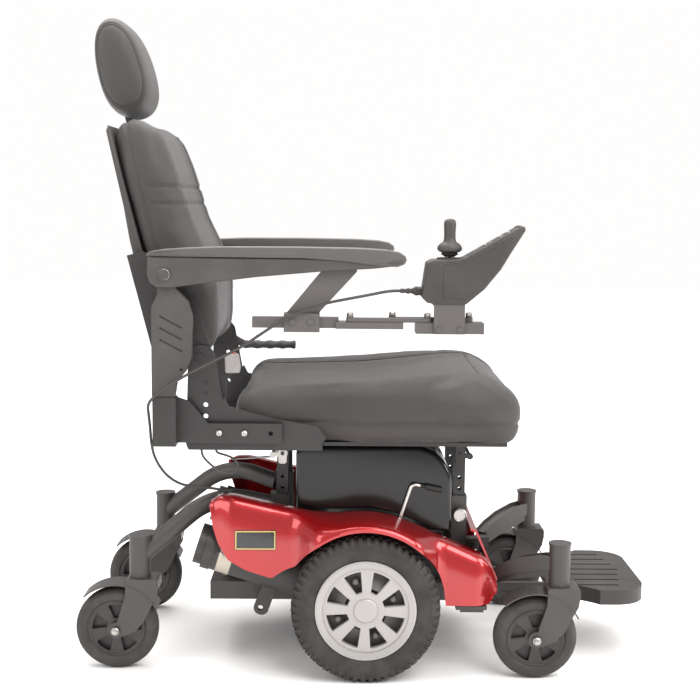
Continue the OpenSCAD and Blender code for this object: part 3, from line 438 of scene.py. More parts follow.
lead = [Vector(point) / 1000 for point in LEAD_POINTS]
lead = cut_corners(cut_corners(cut_corners(lead)))
loop = cut_corners(cut_corners(cut_corners([Vector(point) / 1000 for point in LOOP_POINTS])))
for number, (first, second, start, stop) in enumerate((
        ("controller", "outer_link", 0, 23), ("outer_link", "slide_bar", 23, 33),
        ("slide_bar", "armrest_right", 33, 43), ("armrest_right", "arm_post_right", 43, 72),
        ("arm_post_right", "seat", 72, 120), ("seat", "base", 120, len(lead) - 1))):
    part = lead[start:stop + 1]
    piece = cable(f"lead_{number + 1}", part, CABLE_D)
    bpy.ops.object.select_all(action="DESELECT")
    piece.select_set(True)
    bpy.context.view_layer.objects.active = piece
    bpy.ops.object.convert(target="MESH")
    bpy.ops.object.shade_smooth_by_angle(angle=math.radians(60))
    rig.blend(piece, first, second, start=part[0], end=part[-1])
    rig.cord(piece, exit=part[0], length=drawn_length(part), diameter=CABLE_D, far_end="object",
            stiffness="medium", lay="hanging", path=part)
    if number == 5:
        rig.replaces(piece, "controller_cable")
spare_loop = cable("spare_loop", loop, LOOP_D)
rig.ride(spare_loop, "seat")
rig.cord(spare_loop, exit=loop[0], length=drawn_length(loop), diameter=LOOP_D, far_end="object",
        stiffness="limp", lay="hanging")


# ---------------------------------------------------------------- frame, arms and forks
# Welded steel tube and plate with a satin black powder coat: chassis, caster arms and forks, seat
# posts and pan, back plates, and the brackets that carry the controller.
def powder_coat(name, colour, roughness):
    finish = Finish(name, colour, roughness, Specular_IOR_Level=0.5)
    cloud = finish.noise(14, 4)
    dark = tuple(part * 0.82 for part in colour)
    light = tuple(part * 1.25 for part in colour)
    finish.feed("Base Color", finish.blend(cloud, dark, light))
    finish.feed("Roughness", roughness - 0.08 + finish.noise(60, 3) * 0.16)
    finish.bump(finish.noise(1400, 3) * 0.7 + finish.noise(320, 2) * 0.3, 0.00025)
    return finish.material


def coat_nodes(material, *names):
    for name in names:
        nodes[name].data.materials.clear()
        nodes[name].data.materials.append(material)


FRAME_PAINT = powder_coat("frame_paint", (0.044, 0.040, 0.0385), 0.42)
BRACKET_PAINT = powder_coat("bracket_paint", (0.078, 0.071, 0.069), 0.46)
PLATE_PAINT = powder_coat("plate_paint", (0.020, 0.0185, 0.018), 0.40)
CORNERS = [f"{end}_{side}" for end in ("front", "rear") for side in ("right", "left")]
coat_nodes(FRAME_PAINT, "chassis_frame", "rear_arms", "front_arm_right", "front_arm_left",
           *["caster_fork_" + corner for corner in CORNERS])
coat_nodes(BRACKET_PAINT, "controller_bracket", "slide_bar", "outer_link", "inner_link", "controller_mount")
coat_nodes(PLATE_PAINT, "seat_posts", "seat_frame", "back_frame", "headrest_post", "front_latch")


# ---------------------------------------------------------------- drive tyres
# Air tyres of black rubber: a smooth sidewall under a knobby tread, with two rows of staggered
# blocks in the middle and a row of lugs lapping over each shoulder.
def shaped(name, across, along, place, merge=0.0):
    """A grid whose points are moved to place(u, v), where u and v go from 0 to 1."""
    bpy.ops.object.select_all(action="DESELECT")
    bpy.ops.mesh.primitive_grid_add(x_subdivisions=across, y_subdivisions=along, size=1)
    piece = bpy.context.object
    piece.name = name
    for vertex in piece.data.vertices:
        vertex.co = place(vertex.co.x + 0.5, vertex.co.y + 0.5)
    tidy_mesh(merge or 1e-6)
    return piece


def tidy_mesh(merge=1e-5):
    """Merges the active mesh's doubles and points its faces outwards."""
    bpy.ops.object.mode_set(mode="EDIT")
    bpy.ops.mesh.select_all(action="SELECT")
    bpy.ops.mesh.remove_doubles(threshold=merge)
    bpy.ops.mesh.dissolve_degenerate(threshold=1e-7)
    bpy.ops.mesh.normals_make_consistent(inside=False)
    bpy.ops.object.mode_set(mode="OBJECT")


def outline_loop(name, points, fill="NOTHING"):
    bpy.ops.object.select_all(action="DESELECT")
    bpy.ops.mesh.primitive_circle_add(vertices=len(points), radius=1, fill_type=fill)
    piece = bpy.context.object
    piece.name = name
    for vertex, point in zip(piece.data.vertices, points):
        vertex.co = point
    return piece


def turned(name, profile, centre, steps=64, axis="Y"):
    """A closed profile of (along the axis, radius) pairs, spun about an axis through centre."""
    cx, cy, cz = centre
    place = {"X": lambda a, r: (cx + a, cy, cz + r), "Y": lambda a, r: (cx, cy + a, cz + r),
             "Z": lambda a, r: (cx + r, cy, cz + a)}[axis]
    piece = outline_loop(name, [place(a, r) for a, r in profile])
    bpy.ops.object.mode_set(mode="EDIT")
    bpy.ops.mesh.select_all(action="SELECT")
    bpy.ops.mesh.spin(steps=steps, angle=2 * math.pi, center=centre,
                      axis=[float(axis == letter) for letter in "XYZ"])
    bpy.ops.object.mode_set(mode="OBJECT")
    tidy_mesh()
    return piece


def slab(name, outline, low, high, axis="Y", bevel=0.0, segments=3):
    """An outline drawn square to an axis, extruded from low to high, with its edges rounded."""
    place = {"X": lambda a, b: (low, a, b), "Y": lambda a, b: (a, low, b),
             "Z": lambda a, b: (a, b, low)}[axis]
    piece = outline_loop(name, [place(a, b) for a, b in outline], "NGON")
    bpy.ops.object.mode_set(mode="EDIT")
    bpy.ops.mesh.select_all(action="SELECT")
    bpy.ops.mesh.extrude_region_move(
        TRANSFORM_OT_translate={"value": [(high - low) * (axis == letter) for letter in "XYZ"]})
    bpy.ops.object.mode_set(mode="OBJECT")
    tidy_mesh()
    if bevel:
        rounding = piece.modifiers.new("rounding", "BEVEL")
        rounding.width = bevel
        rounding.segments = segments
        rounding.limit_method = "ANGLE"
        rounding.angle_limit = math.radians(38)
        bpy.ops.object.modifier_apply(modifier="rounding")
    return piece


def joined(name, pieces):
    bpy.ops.object.select_all(action="DESELECT")
    for piece in pieces:
        piece.select_set(True)
    bpy.context.view_layer.objects.active = pieces[0]
    bpy.ops.object.join()
    pieces[0].name = name
    return pieces[0]


def moved_copy(piece, name, shift=(0, 0, 0), mirror=False):
    """A copy with its own mesh, shifted, or mirrored to the chair's other side."""
    twin = piece.copy()
    twin.data = piece.data.copy()
    twin.name = name
    scene.collection.objects.link(twin)
    twin.data.transform(Matrix.Scale(-1, 4, (0, 1, 0)) if mirror else Matrix.Translation(shift))
    if mirror:
        twin.data.flip_normals()
    return twin


def done(piece, body, slot, material, *replaced, smooth=35):
    """Shades a finished piece, gives it its material, and makes it ride on its body."""
    bpy.ops.object.select_all(action="DESELECT")
    piece.select_set(True)
    bpy.context.view_layer.objects.active = piece
    bpy.ops.object.shade_smooth_by_angle(angle=math.radians(smooth))
    piece.data.materials.clear()
    piece.data.materials.append(material)
    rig.slot(piece, slot)
    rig.ride(piece, body)
    if replaced:
        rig.replaces(piece, *replaced)
    return piece


def rubber(name, colour, dust):
    finish = Finish(name, colour, 0.7, Specular_IOR_Level=0.35)
    patch = finish.noise(22, 5, 0.6)
    finish.feed("Base Color", finish.blend(patch.ramp(0.35, 0.7), colour, dust))
    finish.feed("Roughness", 0.58 + patch * 0.25)
    finish.bump(finish.noise(900, 3), 0.0002)
    return finish.material


AXLE = Vector((0, -0.28, 0.159))
BEAD_R = 0.1065
DRIVE_RUBBER = rubber("drive_rubber", (0.024, 0.022, 0.021), (0.046, 0.042, 0.040))
TREAD_ROWS = 56
carcass = turned("drive_tyre_right", [
    (-0.025, BEAD_R), (-0.029, BEAD_R + 0.005), (-0.0315, 0.124), (-0.032, 0.134), (-0.0310, 0.143),
    (-0.026, 0.1505), (-0.016, 0.1545), (0, 0.1555), (0.016, 0.1545), (0.026, 0.1505), (0.0310, 0.143),
    (0.032, 0.134), (0.0315, 0.124), (0.029, BEAD_R + 0.005), (0.025, BEAD_R)], AXLE, steps=112)


def tread_block(name, corners, low, high):
    """A lug with its foot at radius low and its top at radius high: corners are (across, around)."""
    foot = [(AXLE.x + around, AXLE.y + across, AXLE.z + low(across)) for across, around in corners]
    piece = outline_loop(name, foot, "NGON")
    bpy.ops.object.mode_set(mode="EDIT")
    bpy.ops.mesh.select_all(action="SELECT")
    bpy.ops.mesh.extrude_region_move(TRANSFORM_OT_translate={"value": (0, 0, high)})
    bpy.ops.transform.resize(value=(0.82, 0.9, 1))
    bpy.ops.object.mode_set(mode="OBJECT")
    tidy_mesh()
    return piece


blocks = []
for way in (-1, 1):
    shift = 0.0045 * way
    blocks.append(tread_block("tread_centre", [
        (way * 0.0015, shift - 0.0055), (way * 0.013, shift - 0.0035), (way * 0.015, shift + 0.003),
        (way * 0.009, shift + 0.0062), (way * 0.002, shift + 0.003)], lambda across: 0.1535, 0.0055))
    lug = slab("tread_lug", [
        (AXLE.y + way * 0.0165, AXLE.z + 0.1525), (AXLE.y + way * 0.0165, AXLE.z + 0.1585),
        (AXLE.y + way * 0.024, AXLE.z + 0.1565), (AXLE.y + way * 0.0312, AXLE.z + 0.1485),
        (AXLE.y + way * 0.0328, AXLE.z + 0.1375), (AXLE.y + way * 0.0305, AXLE.z + 0.1375),
        (AXLE.y + way * 0.026, AXLE.z + 0.148)], -shift - 0.0047, -shift + 0.0047, axis="X", bevel=0.0007,
        segments=1)
    blocks.append(lug)
tread = joined("tread", blocks)
bpy.ops.object.mode_set(mode="EDIT")
bpy.ops.mesh.select_all(action="SELECT")
bpy.ops.mesh.spin(steps=TREAD_ROWS, angle=2 * math.pi, center=AXLE, axis=(0, 1, 0), dupli=True)
bpy.ops.object.mode_set(mode="OBJECT")
tidy_mesh()
tyre = joined("drive_tyre_right_visible", [carcass, tread])
tyre_left = moved_copy(tyre, "drive_tyre_left_visible", mirror=True)
done(tyre, "wheel_right", "drive_rubber", DRIVE_RUBBER, "drive_tyre_right")
done(tyre_left, "wheel_left", "drive_rubber", DRIVE_RUBBER, "drive_tyre_left")


# ---------------------------------------------------------------- drive rims
# Cast aluminium rims in satin silver paint: an eight-spoke face over a well with four lug nuts
# and four sloped pockets, and a plain hub cap pressed into the middle. The well, its nuts and the
# pockets are painted dark grey: painted shade for the hollows behind the windows.
def satin_silver():
    finish = Finish("rim_silver", (0.36, 0.345, 0.335), 0.36, Metallic=0.35, Coat_Weight=0.25,
                    Coat_Roughness=0.25)
    flake = finish.noise(900, 2)
    finish.feed("Base Color", finish.blend(flake, (0.32, 0.307, 0.298), (0.41, 0.393, 0.382)))
    finish.feed("Roughness", 0.30 + finish.noise(30, 4) * 0.16)
    finish.bump(finish.noise(500, 2), 0.00008)
    return finish.material


def spoked_face(name, centre, spokes, radii, half_hub, half_open, dish, thick, turn):
    """A wheel's face: one sector is shaped as a grid, its window opened, then spun all round.
    radii are hub, window's inner end, window's outer end and rim. dish(r) is how far it stands out."""
    hub, inner, outer, rim = radii
    half = math.pi / spokes
    across, along = 12, 22

    def place(u, v):
        window = min(max((v - 0.18) / 0.66, 0), 1)
        r = hub + (inner - hub) * v / 0.18 if v < 0.18 else (
            inner + (outer - inner) * window if v < 0.84 else outer + (rim - outer) * (v - 0.84) / 0.16)
        open_angle = (half_hub + (half_open - half_hub) * window) / r
        side = abs(u - 0.5) * 2
        angle = (open_angle * side / 0.5 if side < 0.5
                 else open_angle + (half - open_angle) * (side - 0.5) / 0.5)
        angle = turn + math.copysign(angle, u - 0.5)
        return (centre[0] + r * math.cos(angle), centre[1] - dish(r), centre[2] + r * math.sin(angle))

    piece = shaped(name, across, along, place)
    bpy.ops.object.mode_set(mode="EDIT")
    bpy.ops.mesh.select_all(action="DESELECT")
    bpy.ops.object.mode_set(mode="OBJECT")
    for face in piece.data.polygons:
        spot = face.center - Vector(centre)
        r = math.hypot(spot.x, spot.z)
        window = (r - inner) / (outer - inner)
        away = abs(math.remainder(math.atan2(spot.z, spot.x) - turn, 2 * math.pi)) * r
        face.select = 0 < window < 1 and away < half_hub + (half_open - half_hub) * window
    bpy.ops.object.mode_set(mode="EDIT")
    bpy.ops.mesh.select_mode(type="FACE")
    bpy.ops.mesh.delete(type="FACE")
    bpy.ops.mesh.select_mode(type="VERT")
    bpy.ops.mesh.select_all(action="SELECT")
    bpy.ops.mesh.spin(steps=spokes, angle=2 * math.pi, center=centre, axis=(0, 1, 0), dupli=True)
    bpy.ops.mesh.select_all(action="SELECT")
    bpy.ops.mesh.remove_doubles(threshold=2e-5)
    bpy.ops.mesh.normals_make_consistent(inside=False)
    bpy.ops.object.mode_set(mode="OBJECT")
    if sum(face.normal.y for face in piece.data.polygons) > 0:
        piece.data.flip_normals()
    wall = piece.modifiers.new("wall", "SOLIDIFY")
    wall.thickness = thick
    wall.offset = -1
    bpy.ops.object.modifier_apply(modifier="wall")
    soft = piece.modifiers.new("soft", "BEVEL")
    soft.width = 0.0012
    soft.segments = 2
    soft.limit_method = "ANGLE"
    soft.angle_limit = math.radians(50)
    bpy.ops.object.modifier_apply(modifier="soft")
    return piece


RIM_SILVER = satin_silver()
# Painted shade: a dark grey for the hollows behind the rim's windows, put on the well, its lug nuts and the sloped
# pockets.
WELL_PAINTED_SHADE = powder_coat("rim_well", (0.10, 0.094, 0.09), 0.5)
WINDOWS = 8
WINDOW_TURN = math.radians(20.5)
face = spoked_face("rim_face", AXLE, WINDOWS, (0.018, 0.040, 0.0855, 0.0985), 0.0065, 0.0195,
                   lambda r: 0.0265 - 0.0035 * max(0, (r - 0.03)) / 0.065, 0.012, WINDOW_TURN)
barrel = turned("rim_barrel", [
    (-0.027, 0.0925), (-0.0285, 0.098), (-0.0305, 0.1035), (-0.0292, 0.1075), (-0.024, 0.1070),
    (0.024, 0.1065), (0.027, 0.1065), (0.025, 0.098), (-0.012, 0.0925)], AXLE, steps=96)
cap = turned("rim_cap", [(-0.0215, 0.0), (-0.0215, 0.026), (-0.029, 0.0258), (-0.0312, 0.0236),
                         (-0.0318, 0.019), (-0.0325, 0.0)], AXLE, steps=64)
hub_back = turned("rim_hub_back", [(0.026, 0.011), (0.026, 0.034), (-0.010, 0.034), (-0.018, 0.028),
                                   (-0.024, 0.011)], AXLE, steps=48)
rim_right = joined("drive_rim_right_visible", [face, barrel, cap, hub_back])
well = turned("rim_well", [(0.010, 0.030), (0.010, 0.093), (0.004, 0.093), (-0.001, 0.07), (0.002, 0.030)],
              AXLE, steps=72)
details = [well]
for quarter in range(4):
    angle = WINDOW_TURN + quarter * math.pi / 2
    spot = AXLE + Vector((math.cos(angle) * 0.062, 0, math.sin(angle) * 0.062))
    details.append(turned("lug_nut", [(0.004, 0), (0.004, 0.0095), (-0.006, 0.0095), (-0.008, 0.0078),
                                      (-0.0155, 0.0062), (-0.0175, 0.004), (-0.018, 0)], spot, steps=18))
wells = joined("rim_well_right", details)
pockets = []
for quarter in range(4):
    angle = WINDOW_TURN + math.radians(45) + quarter * math.pi / 2
    along = Vector((math.cos(angle), 0, math.sin(angle)))
    side = Vector((-math.sin(angle), 0, math.cos(angle)))

    def slope(u, v, along=along, side=side):
        r = 0.046 + 0.044 * v
        width = 0.009 + 0.013 * v
        depth = Vector((0, 0.004 - 0.020 * (1 - v) ** 1.4, 0))
        return AXLE + along * r + side * (u - 0.5) * 2 * width + depth

    pocket = shaped("rim_pocket", 4, 6, slope)
    if pocket.data.polygons[0].normal.y > 0:
        pocket.data.flip_normals()
    thick = pocket.modifiers.new("thick", "SOLIDIFY")
    thick.thickness = 0.003
    bpy.ops.object.modifier_apply(modifier="thick")
    pockets.append(pocket)
pockets = joined("rim_pockets_right", pockets)
for side, mirror in (("right", False), ("left", True)):
    for piece, label, material, slot_name, replaced in (
            (rim_right, "drive_rim", RIM_SILVER, "rim_silver", [f"drive_rim_{side}"]),
            (wells, "rim_well", WELL_PAINTED_SHADE, "rim_silver", []),
            (pockets, "rim_pockets", WELL_PAINTED_SHADE, "rim_silver", [])):
        part = moved_copy(piece, f"{label}_{side}_visible", mirror=mirror)
        done(part, f"wheel_{side}", slot_name, material, *replaced)
for piece in (rim_right, wells, pockets):
    bpy.data.objects.remove(piece)


# ---------------------------------------------------------------- casters
# Solid rubber tyres on moulded dark rims with five openings, held in the forks by an axle bolt
# with a domed nut at each end.
CASTER_R = 0.09
CASTERS = {"front_right": (0.366, -0.255), "front_left": (0.366, 0.255),
           "rear_right": (-0.540, -0.208), "rear_left": (-0.540, 0.208)}
CASTER_RUBBER = rubber("caster_rubber", (0.036, 0.033, 0.032), (0.058, 0.053, 0.051))
RIM_PLASTIC = powder_coat("caster_rim", (0.030, 0.027, 0.026), 0.38)


def plated_steel(name, colour, roughness):
    finish = Finish(name, colour, roughness, Metallic=1.0)
    finish.feed("Roughness", roughness - 0.06 + finish.noise(240, 3) * 0.14)
    finish.feed("Base Color", finish.blend(finish.noise(40, 3), colour, tuple(part * 0.8 for part in colour)))
    finish.bump(finish.noise(900, 2), 0.00008)
    return finish.material


STEEL = plated_steel("zinc_steel", (0.50, 0.48, 0.46), 0.34)
hub = Vector((CASTERS["front_right"][0], CASTERS["front_right"][1], CASTER_R))
caster_tyre = turned("caster_tyre_visible", [
    (-0.0185, 0.0612), (-0.0222, 0.0655), (-0.0225, 0.0725), (-0.0205, 0.0795), (-0.0195, 0.0800),
    (-0.0188, 0.0812), (-0.015, 0.0865), (-0.0085, 0.0893), (0, 0.0900), (0.0085, 0.0893),
    (0.015, 0.0865), (0.0188, 0.0812), (0.0195, 0.0800), (0.0205, 0.0795), (0.0225, 0.0725),
    (0.0222, 0.0655), (0.0185, 0.0612)], hub, steps=80)
front_face = spoked_face("caster_face", hub, 5, (0.0115, 0.0225, 0.0515, 0.0585), 0.0055, 0.0175,
                         lambda r: 0.0185 - 0.0045 * math.sin(min(1, r / 0.058) * math.pi), 0.009,
                         math.radians(18))
back_face = moved_copy(front_face, "caster_back_face", mirror=True)
back_face.data.transform(Matrix.Translation((0, 2 * hub.y, 0)))
caster_barrel = turned("caster_barrel", [
    (-0.0195, 0.0565), (-0.0205, 0.0590), (-0.0195, 0.0615), (0.0195, 0.0615), (0.0205, 0.0590),
    (0.0195, 0.0565), (0.004, 0.0555), (-0.004, 0.0555)], hub, steps=72)
caster_hub = turned("caster_hub", [(-0.0245, 0.0066), (-0.0245, 0.0135), (-0.020, 0.016), (0.020, 0.016),
                                   (0.0245, 0.0135), (0.0245, 0.0066)], hub, steps=40)
caster_web = turned("caster_web", [(-0.003, 0.015), (-0.003, 0.0565), (0.003, 0.0565), (0.003, 0.015)], hub,
                    steps=40)
caster_rim = joined("caster_rim_visible", [front_face, back_face, caster_barrel, caster_hub, caster_web])
nuts = joined("axle_nuts", [
    turned("axle_nut", [(way * 0.0365, 0), (way * 0.0365, 0.0088), (way * 0.0400, 0.0088),
                        (way * 0.0412, 0.0072), (way * 0.0440, 0.0060), (way * 0.0455, 0.0030),
                        (way * 0.0458, 0)], hub, steps=12)
    for way in (-1, 1)])
for corner, (x, y) in CASTERS.items():
    shift = (x - hub.x, y - hub.y, 0)
    done(moved_copy(caster_tyre, f"caster_tyre_{corner}_visible", shift), f"caster_{corner}", "caster_rubber",
         CASTER_RUBBER, f"caster_tyre_{corner}")
    done(moved_copy(caster_rim, f"caster_rim_{corner}_visible", shift), f"caster_{corner}", "caster_rim",
         RIM_PLASTIC, f"caster_rim_{corner}")
    done(moved_copy(nuts, f"axle_nuts_{corner}", shift), f"fork_{corner}", "steel", STEEL)
for piece in (caster_tyre, caster_rim, nuts):
    bpy.data.objects.remove(piece)


# ---------------------------------------------------------------- red shrouds and front cover
# Vacuum-formed plastic skins in candy red: clear gloss over fine metal flake. Each side skin rolls
# over at its top and flares out in a mudguard over the drive tyre. A dark plate sits on its rear.
def candy_red():
    finish = Finish("candy_red", (0.42, 0.004, 0.008), 0.30, Metallic=0.55, Coat_Weight=1.0,
                    Coat_Roughness=0.04)
    flake = finish.cells(1600)
    depth = finish.noise(5, 3)
    deep = finish.blend(depth, (0.25, 0.002, 0.005), (0.37, 0.004, 0.007))
    finish.feed("Base Color", finish.blend(flake.ramp(0.3, 0.8) * 0.25, deep, (0.75, 0.03, 0.03)))
    finish.feed("Roughness", 0.26 + finish.noise(200, 2) * 0.08)
    finish.bump(finish.noise(8, 2), 0.0006, 0.3)
    return finish.material


def between(table, x):
    """Straight lines through (x, value) pairs, smoothed a little at the knots."""
    def line(at):
        at = min(max(at, table[0][0]), table[-1][0])
        for (x0, y0), (x1, y1) in zip(table, table[1:]):
            if at <= x1:
                return y0 + (y1 - y0) * (at - x0) / (x1 - x0)
        return table[-1][1]
    spread = (table[-1][0] - table[0][0]) * 0.012
    return sum(line(x + step * spread) for step in (-1, -0.5, 0, 0.5, 1)) / 5


def ease(x, low, high):
    t = min(max((x - low) / (high - low), 0), 1)
    return t * t * (3 - 2 * t)


RED = candy_red()
REAR_X, NOSE_X = -0.334, 0.285
ARCH_R = 0.172
SKIN_Y, FLANGE_Y, LIP_Y = 0.262, 0.205, 0.318
TOP_EDGE = [(-0.334, 0.374), (-0.316, 0.387), (-0.285, 0.388), (-0.191, 0.366), (-0.113, 0.350),
            (-0.062, 0.347), (-0.02, 0.351), (0.02, 0.350), (0.06, 0.342), (0.102, 0.326),
            (0.188, 0.288), (0.255, 0.258), (0.272, 0.240), (0.282, 0.212), (0.285, 0.19)]
LOW_EDGE = [(-0.334, 0.366), (-0.331, 0.330), (-0.318, 0.288), (-0.296, 0.255), (-0.256, 0.232),
            (-0.202, 0.215), (-0.176, 0.232), (-0.153, 0.242)]


def low_edge(x):
    if x < -0.150:
        return between(LOW_EDGE, x)
    if x < 0.1715:
        return 0.159 + math.sqrt(max(ARCH_R ** 2 - x * x, 0))
    return 0.157 + 0.023 * ease(x, 0.262, NOSE_X) ** 1.5


def skin(u, v):
    x = REAR_X + (NOSE_X - REAR_X) * (0.5 - 0.5 * math.cos(math.pi * u)) * 0.5 + (NOSE_X - REAR_X) * u * 0.5
    flare = ease(x, -0.165, -0.095) * (1 - ease(x, 0.105, 0.165))
    low = low_edge(x)
    top = max(between(TOP_EDGE, x), low + 0.008)
    tuck = 0.020 * (1 - ease(x, REAR_X, REAR_X + 0.05)) + 0.022 * ease(x, NOSE_X - 0.05, NOSE_X)
    out = SKIN_Y + (LIP_Y - SKIN_Y) * flare - tuck
    lip = 0.006 * flare + 0.002
    if v < 0.1:
        return Vector((x, -out - 0.0015 * flare, low + lip * v / 0.1))
    turn = math.pi / 2 * (v - 0.1) / 0.9
    across = math.cos(turn) ** (0.32 + 0.55 * flare)
    up = math.sin(turn) ** (1.0 - 0.15 * flare)
    return Vector((x, -FLANGE_Y - (out - FLANGE_Y) * across, low + lip + (top - low - lip) * up))


shroud = shaped("shroud_right_visible", 120, 22, skin)
if sum(face.normal.y * face.area for face in shroud.data.polygons) > 0:
    shroud.data.flip_normals()
wall = shroud.modifiers.new("wall", "SOLIDIFY")
wall.thickness = 0.0035
wall.offset = -1
bpy.ops.object.modifier_apply(modifier="wall")
rounding = shroud.modifiers.new("rounding", "BEVEL")
rounding.width = 0.0012
rounding.segments = 2
rounding.limit_method = "ANGLE"
rounding.angle_limit = math.radians(60)
bpy.ops.object.modifier_apply(modifier="rounding")


def on_surface(target, origin, direction):
    hit, spot, normal, _ = target.ray_cast(origin, direction)
    return (spot, normal) if hit else (None, None)


def badge_plate():
    finish = Finish("badge_plate", (0.012, 0.012, 0.013), 0.22, Coat_Weight=0.6)
    x, _, z = finish.axes()
    edge_x = (x + 0.236).size().above(0.0405) * (x + 0.236).size().below(0.0425)
    edge_z = (z - 0.298).size().above(0.0175) * (z - 0.298).size().below(0.0195)
    inside = (x + 0.236).size().below(0.0425) * (z - 0.298).size().below(0.0195)
    rim = ((edge_x + edge_z) * inside).above(0.5)
    brushed = finish.noise(60, 2, stretch=(1, 1, 14))
    finish.feed("Base Color", finish.blend(rim, (0.012, 0.012, 0.013), (0.62, 0.42, 0.12)))
    finish.feed("Roughness", 0.18 + brushed * 0.16)
    return finish.material


def badge_spot(u, v):
    x, z = -0.280 + 0.088 * u, 0.277 + 0.042 * v
    spot, _ = on_surface(shroud, (x, -0.5, z), (0, 1, 0))
    return Vector((x, spot.y - 0.0004, z))


badge = shaped("shroud_badge_right", 12, 6, badge_spot)
if badge.data.polygons[0].normal.y < 0:
    badge.data.flip_normals()
thick = badge.modifiers.new("thick", "SOLIDIFY")
thick.thickness = 0.0012
bpy.ops.object.modifier_apply(modifier="thick")
tidy_mesh()
BADGE = badge_plate()
shroud_left = moved_copy(shroud, "shroud_left_visible", mirror=True)
badge_left = moved_copy(badge, "shroud_badge_left", mirror=True)
done(shroud, "base", "red_gloss", RED, "shroud_right")
done(shroud_left, "base", "red_gloss", RED, "shroud_left")
done(badge, "base", "black_plastic", BADGE)
done(badge_left, "base", "black_plastic", BADGE)
coat_nodes(RED, "front_cover")


# ---------------------------------------------------------------- battery cover and power base
# A glossy black moulded lid over the two batteries, with a big soft radius at its front. Below it
# are the motors in black paint with a bare band before the brake, and the grey power module.
def gloss_black():
    finish = Finish("cover_black", (0.004, 0.0038, 0.0038), 0.16, Coat_Weight=0.15, Coat_Roughness=0.06,
                    Specular_IOR_Level=0.34)
    haze = finish.noise(9, 5)
    finish.feed("Roughness", 0.12 + haze * 0.16)
    finish.bump(finish.noise(14, 2), 0.0008, 0.35)
    return finish.material


def motor_paint():
    finish = Finish("motor_paint", (0.03, 0.028, 0.027), 0.42)
    x, _, z = finish.axes()
    along = (z - 0.159) * math.sin(math.radians(17.5)) - x * math.cos(math.radians(17.5))
    band = along.ramp(0.300, 0.302) * (1 - along.ramp(0.330, 0.332))
    grain = finish.noise(400, 3)
    finish.feed("Base Color", finish.blend(band, (0.030, 0.028, 0.027), (0.50, 0.45, 0.38)))
    finish.feed("Metallic", band * 0.6)
    finish.feed("Roughness", 0.36 + grain * 0.2)
    finish.bump(finish.noise(700, 2), 0.0001)
    return finish.material


def arc(centre, radius, start, stop, steps=8):
    return [(centre[0] + radius * math.cos(math.radians(start + (stop - start) * step / steps)),
             centre[1] + radius * math.sin(math.radians(start + (stop - start) * step / steps)))
            for step in range(steps + 1)]


COVER_BLACK = gloss_black()
cover = slab("battery_cover_visible",
             [(-0.153, 0.297), (0.188, 0.297)] + arc((0.103, 0.405), 0.085, 0, 90, 14)
             + arc((-0.133, 0.470), 0.020, 90, 180, 6), -0.188, 0.188, bevel=0.011, segments=5)
done(cover, "base", "cover_black", COVER_BLACK, "battery_cover")
coat_nodes(motor_paint(), "gearmotors", "power_module")
coat_nodes(powder_coat("battery_case", (0.025, 0.024, 0.026), 0.5), "batteries")
knobs = [turned(f"post_knob_{side}", [(way * 0.118, 0.0), (way * 0.118, 0.0155), (way * 0.158, 0.0155),
                                      (way * 0.1600, 0.0135), (way * 0.1585, 0.0125), (way * 0.1570, 0.0122),
                                      (way * 0.1575, 0)], (0.209, 0, 0.330), steps=40)
         for side, way in (("right", -1), ("left", 1))]
for knob in knobs:
    done(knob, "base", "steel", STEEL)


# ---------------------------------------------------------------- freewheel and latch levers
# Bent round rod, bright zinc plated, with a dark knurled sleeve on the end that the hand takes.
def sleeve():
    finish = Finish("lever_steel", (0.56, 0.54, 0.52), 0.3, Metallic=0.9)
    x, _, z = finish.axes()
    grip = x.ramp(0.118, 0.1185) * z.ramp(0.34, 0.345)
    knurl = ((x * 3200).sine() * (z * 3200).sine()).size()
    finish.feed("Base Color", finish.blend(grip, (0.56, 0.54, 0.52), (0.05, 0.048, 0.046)))
    finish.feed("Roughness", 0.24 + grip * 0.3 + finish.noise(300, 3) * 0.1)
    finish.bump(knurl * grip, 0.0003)
    return finish.material


LEVER_STEEL = sleeve()
coat_nodes(LEVER_STEEL, "freewheel_lever_right", "freewheel_lever_left")
coat_nodes(STEEL, "rear_latch", "gimbal")


# ---------------------------------------------------------------- footplate
# One moulding of black plastic with a pebbled skin, whose top is ribbed front to back for grip.
def pebbled(name, colour, roughness, grain=700):
    finish = Finish(name, colour, roughness, Specular_IOR_Level=0.45)
    worn = finish.noise(9, 5, 0.6)
    dusty = tuple(part * 1.45 for part in colour)
    finish.feed("Base Color", finish.blend(worn.ramp(0.3, 0.75), colour, dusty))
    finish.feed("Roughness", roughness - 0.07 + finish.noise(30, 3) * 0.16)
    finish.bump(finish.cells(grain) * 0.7 + finish.noise(grain * 1.8, 2) * 0.3, 0.00035)
    return finish.material


FOOT_PLASTIC = pebbled("foot_plastic", (0.030, 0.027, 0.026), 0.50)
SHELL_PLASTIC = pebbled("shell_plastic", (0.034, 0.031, 0.030), 0.48)
coat_nodes(FOOT_PLASTIC, "footplate")


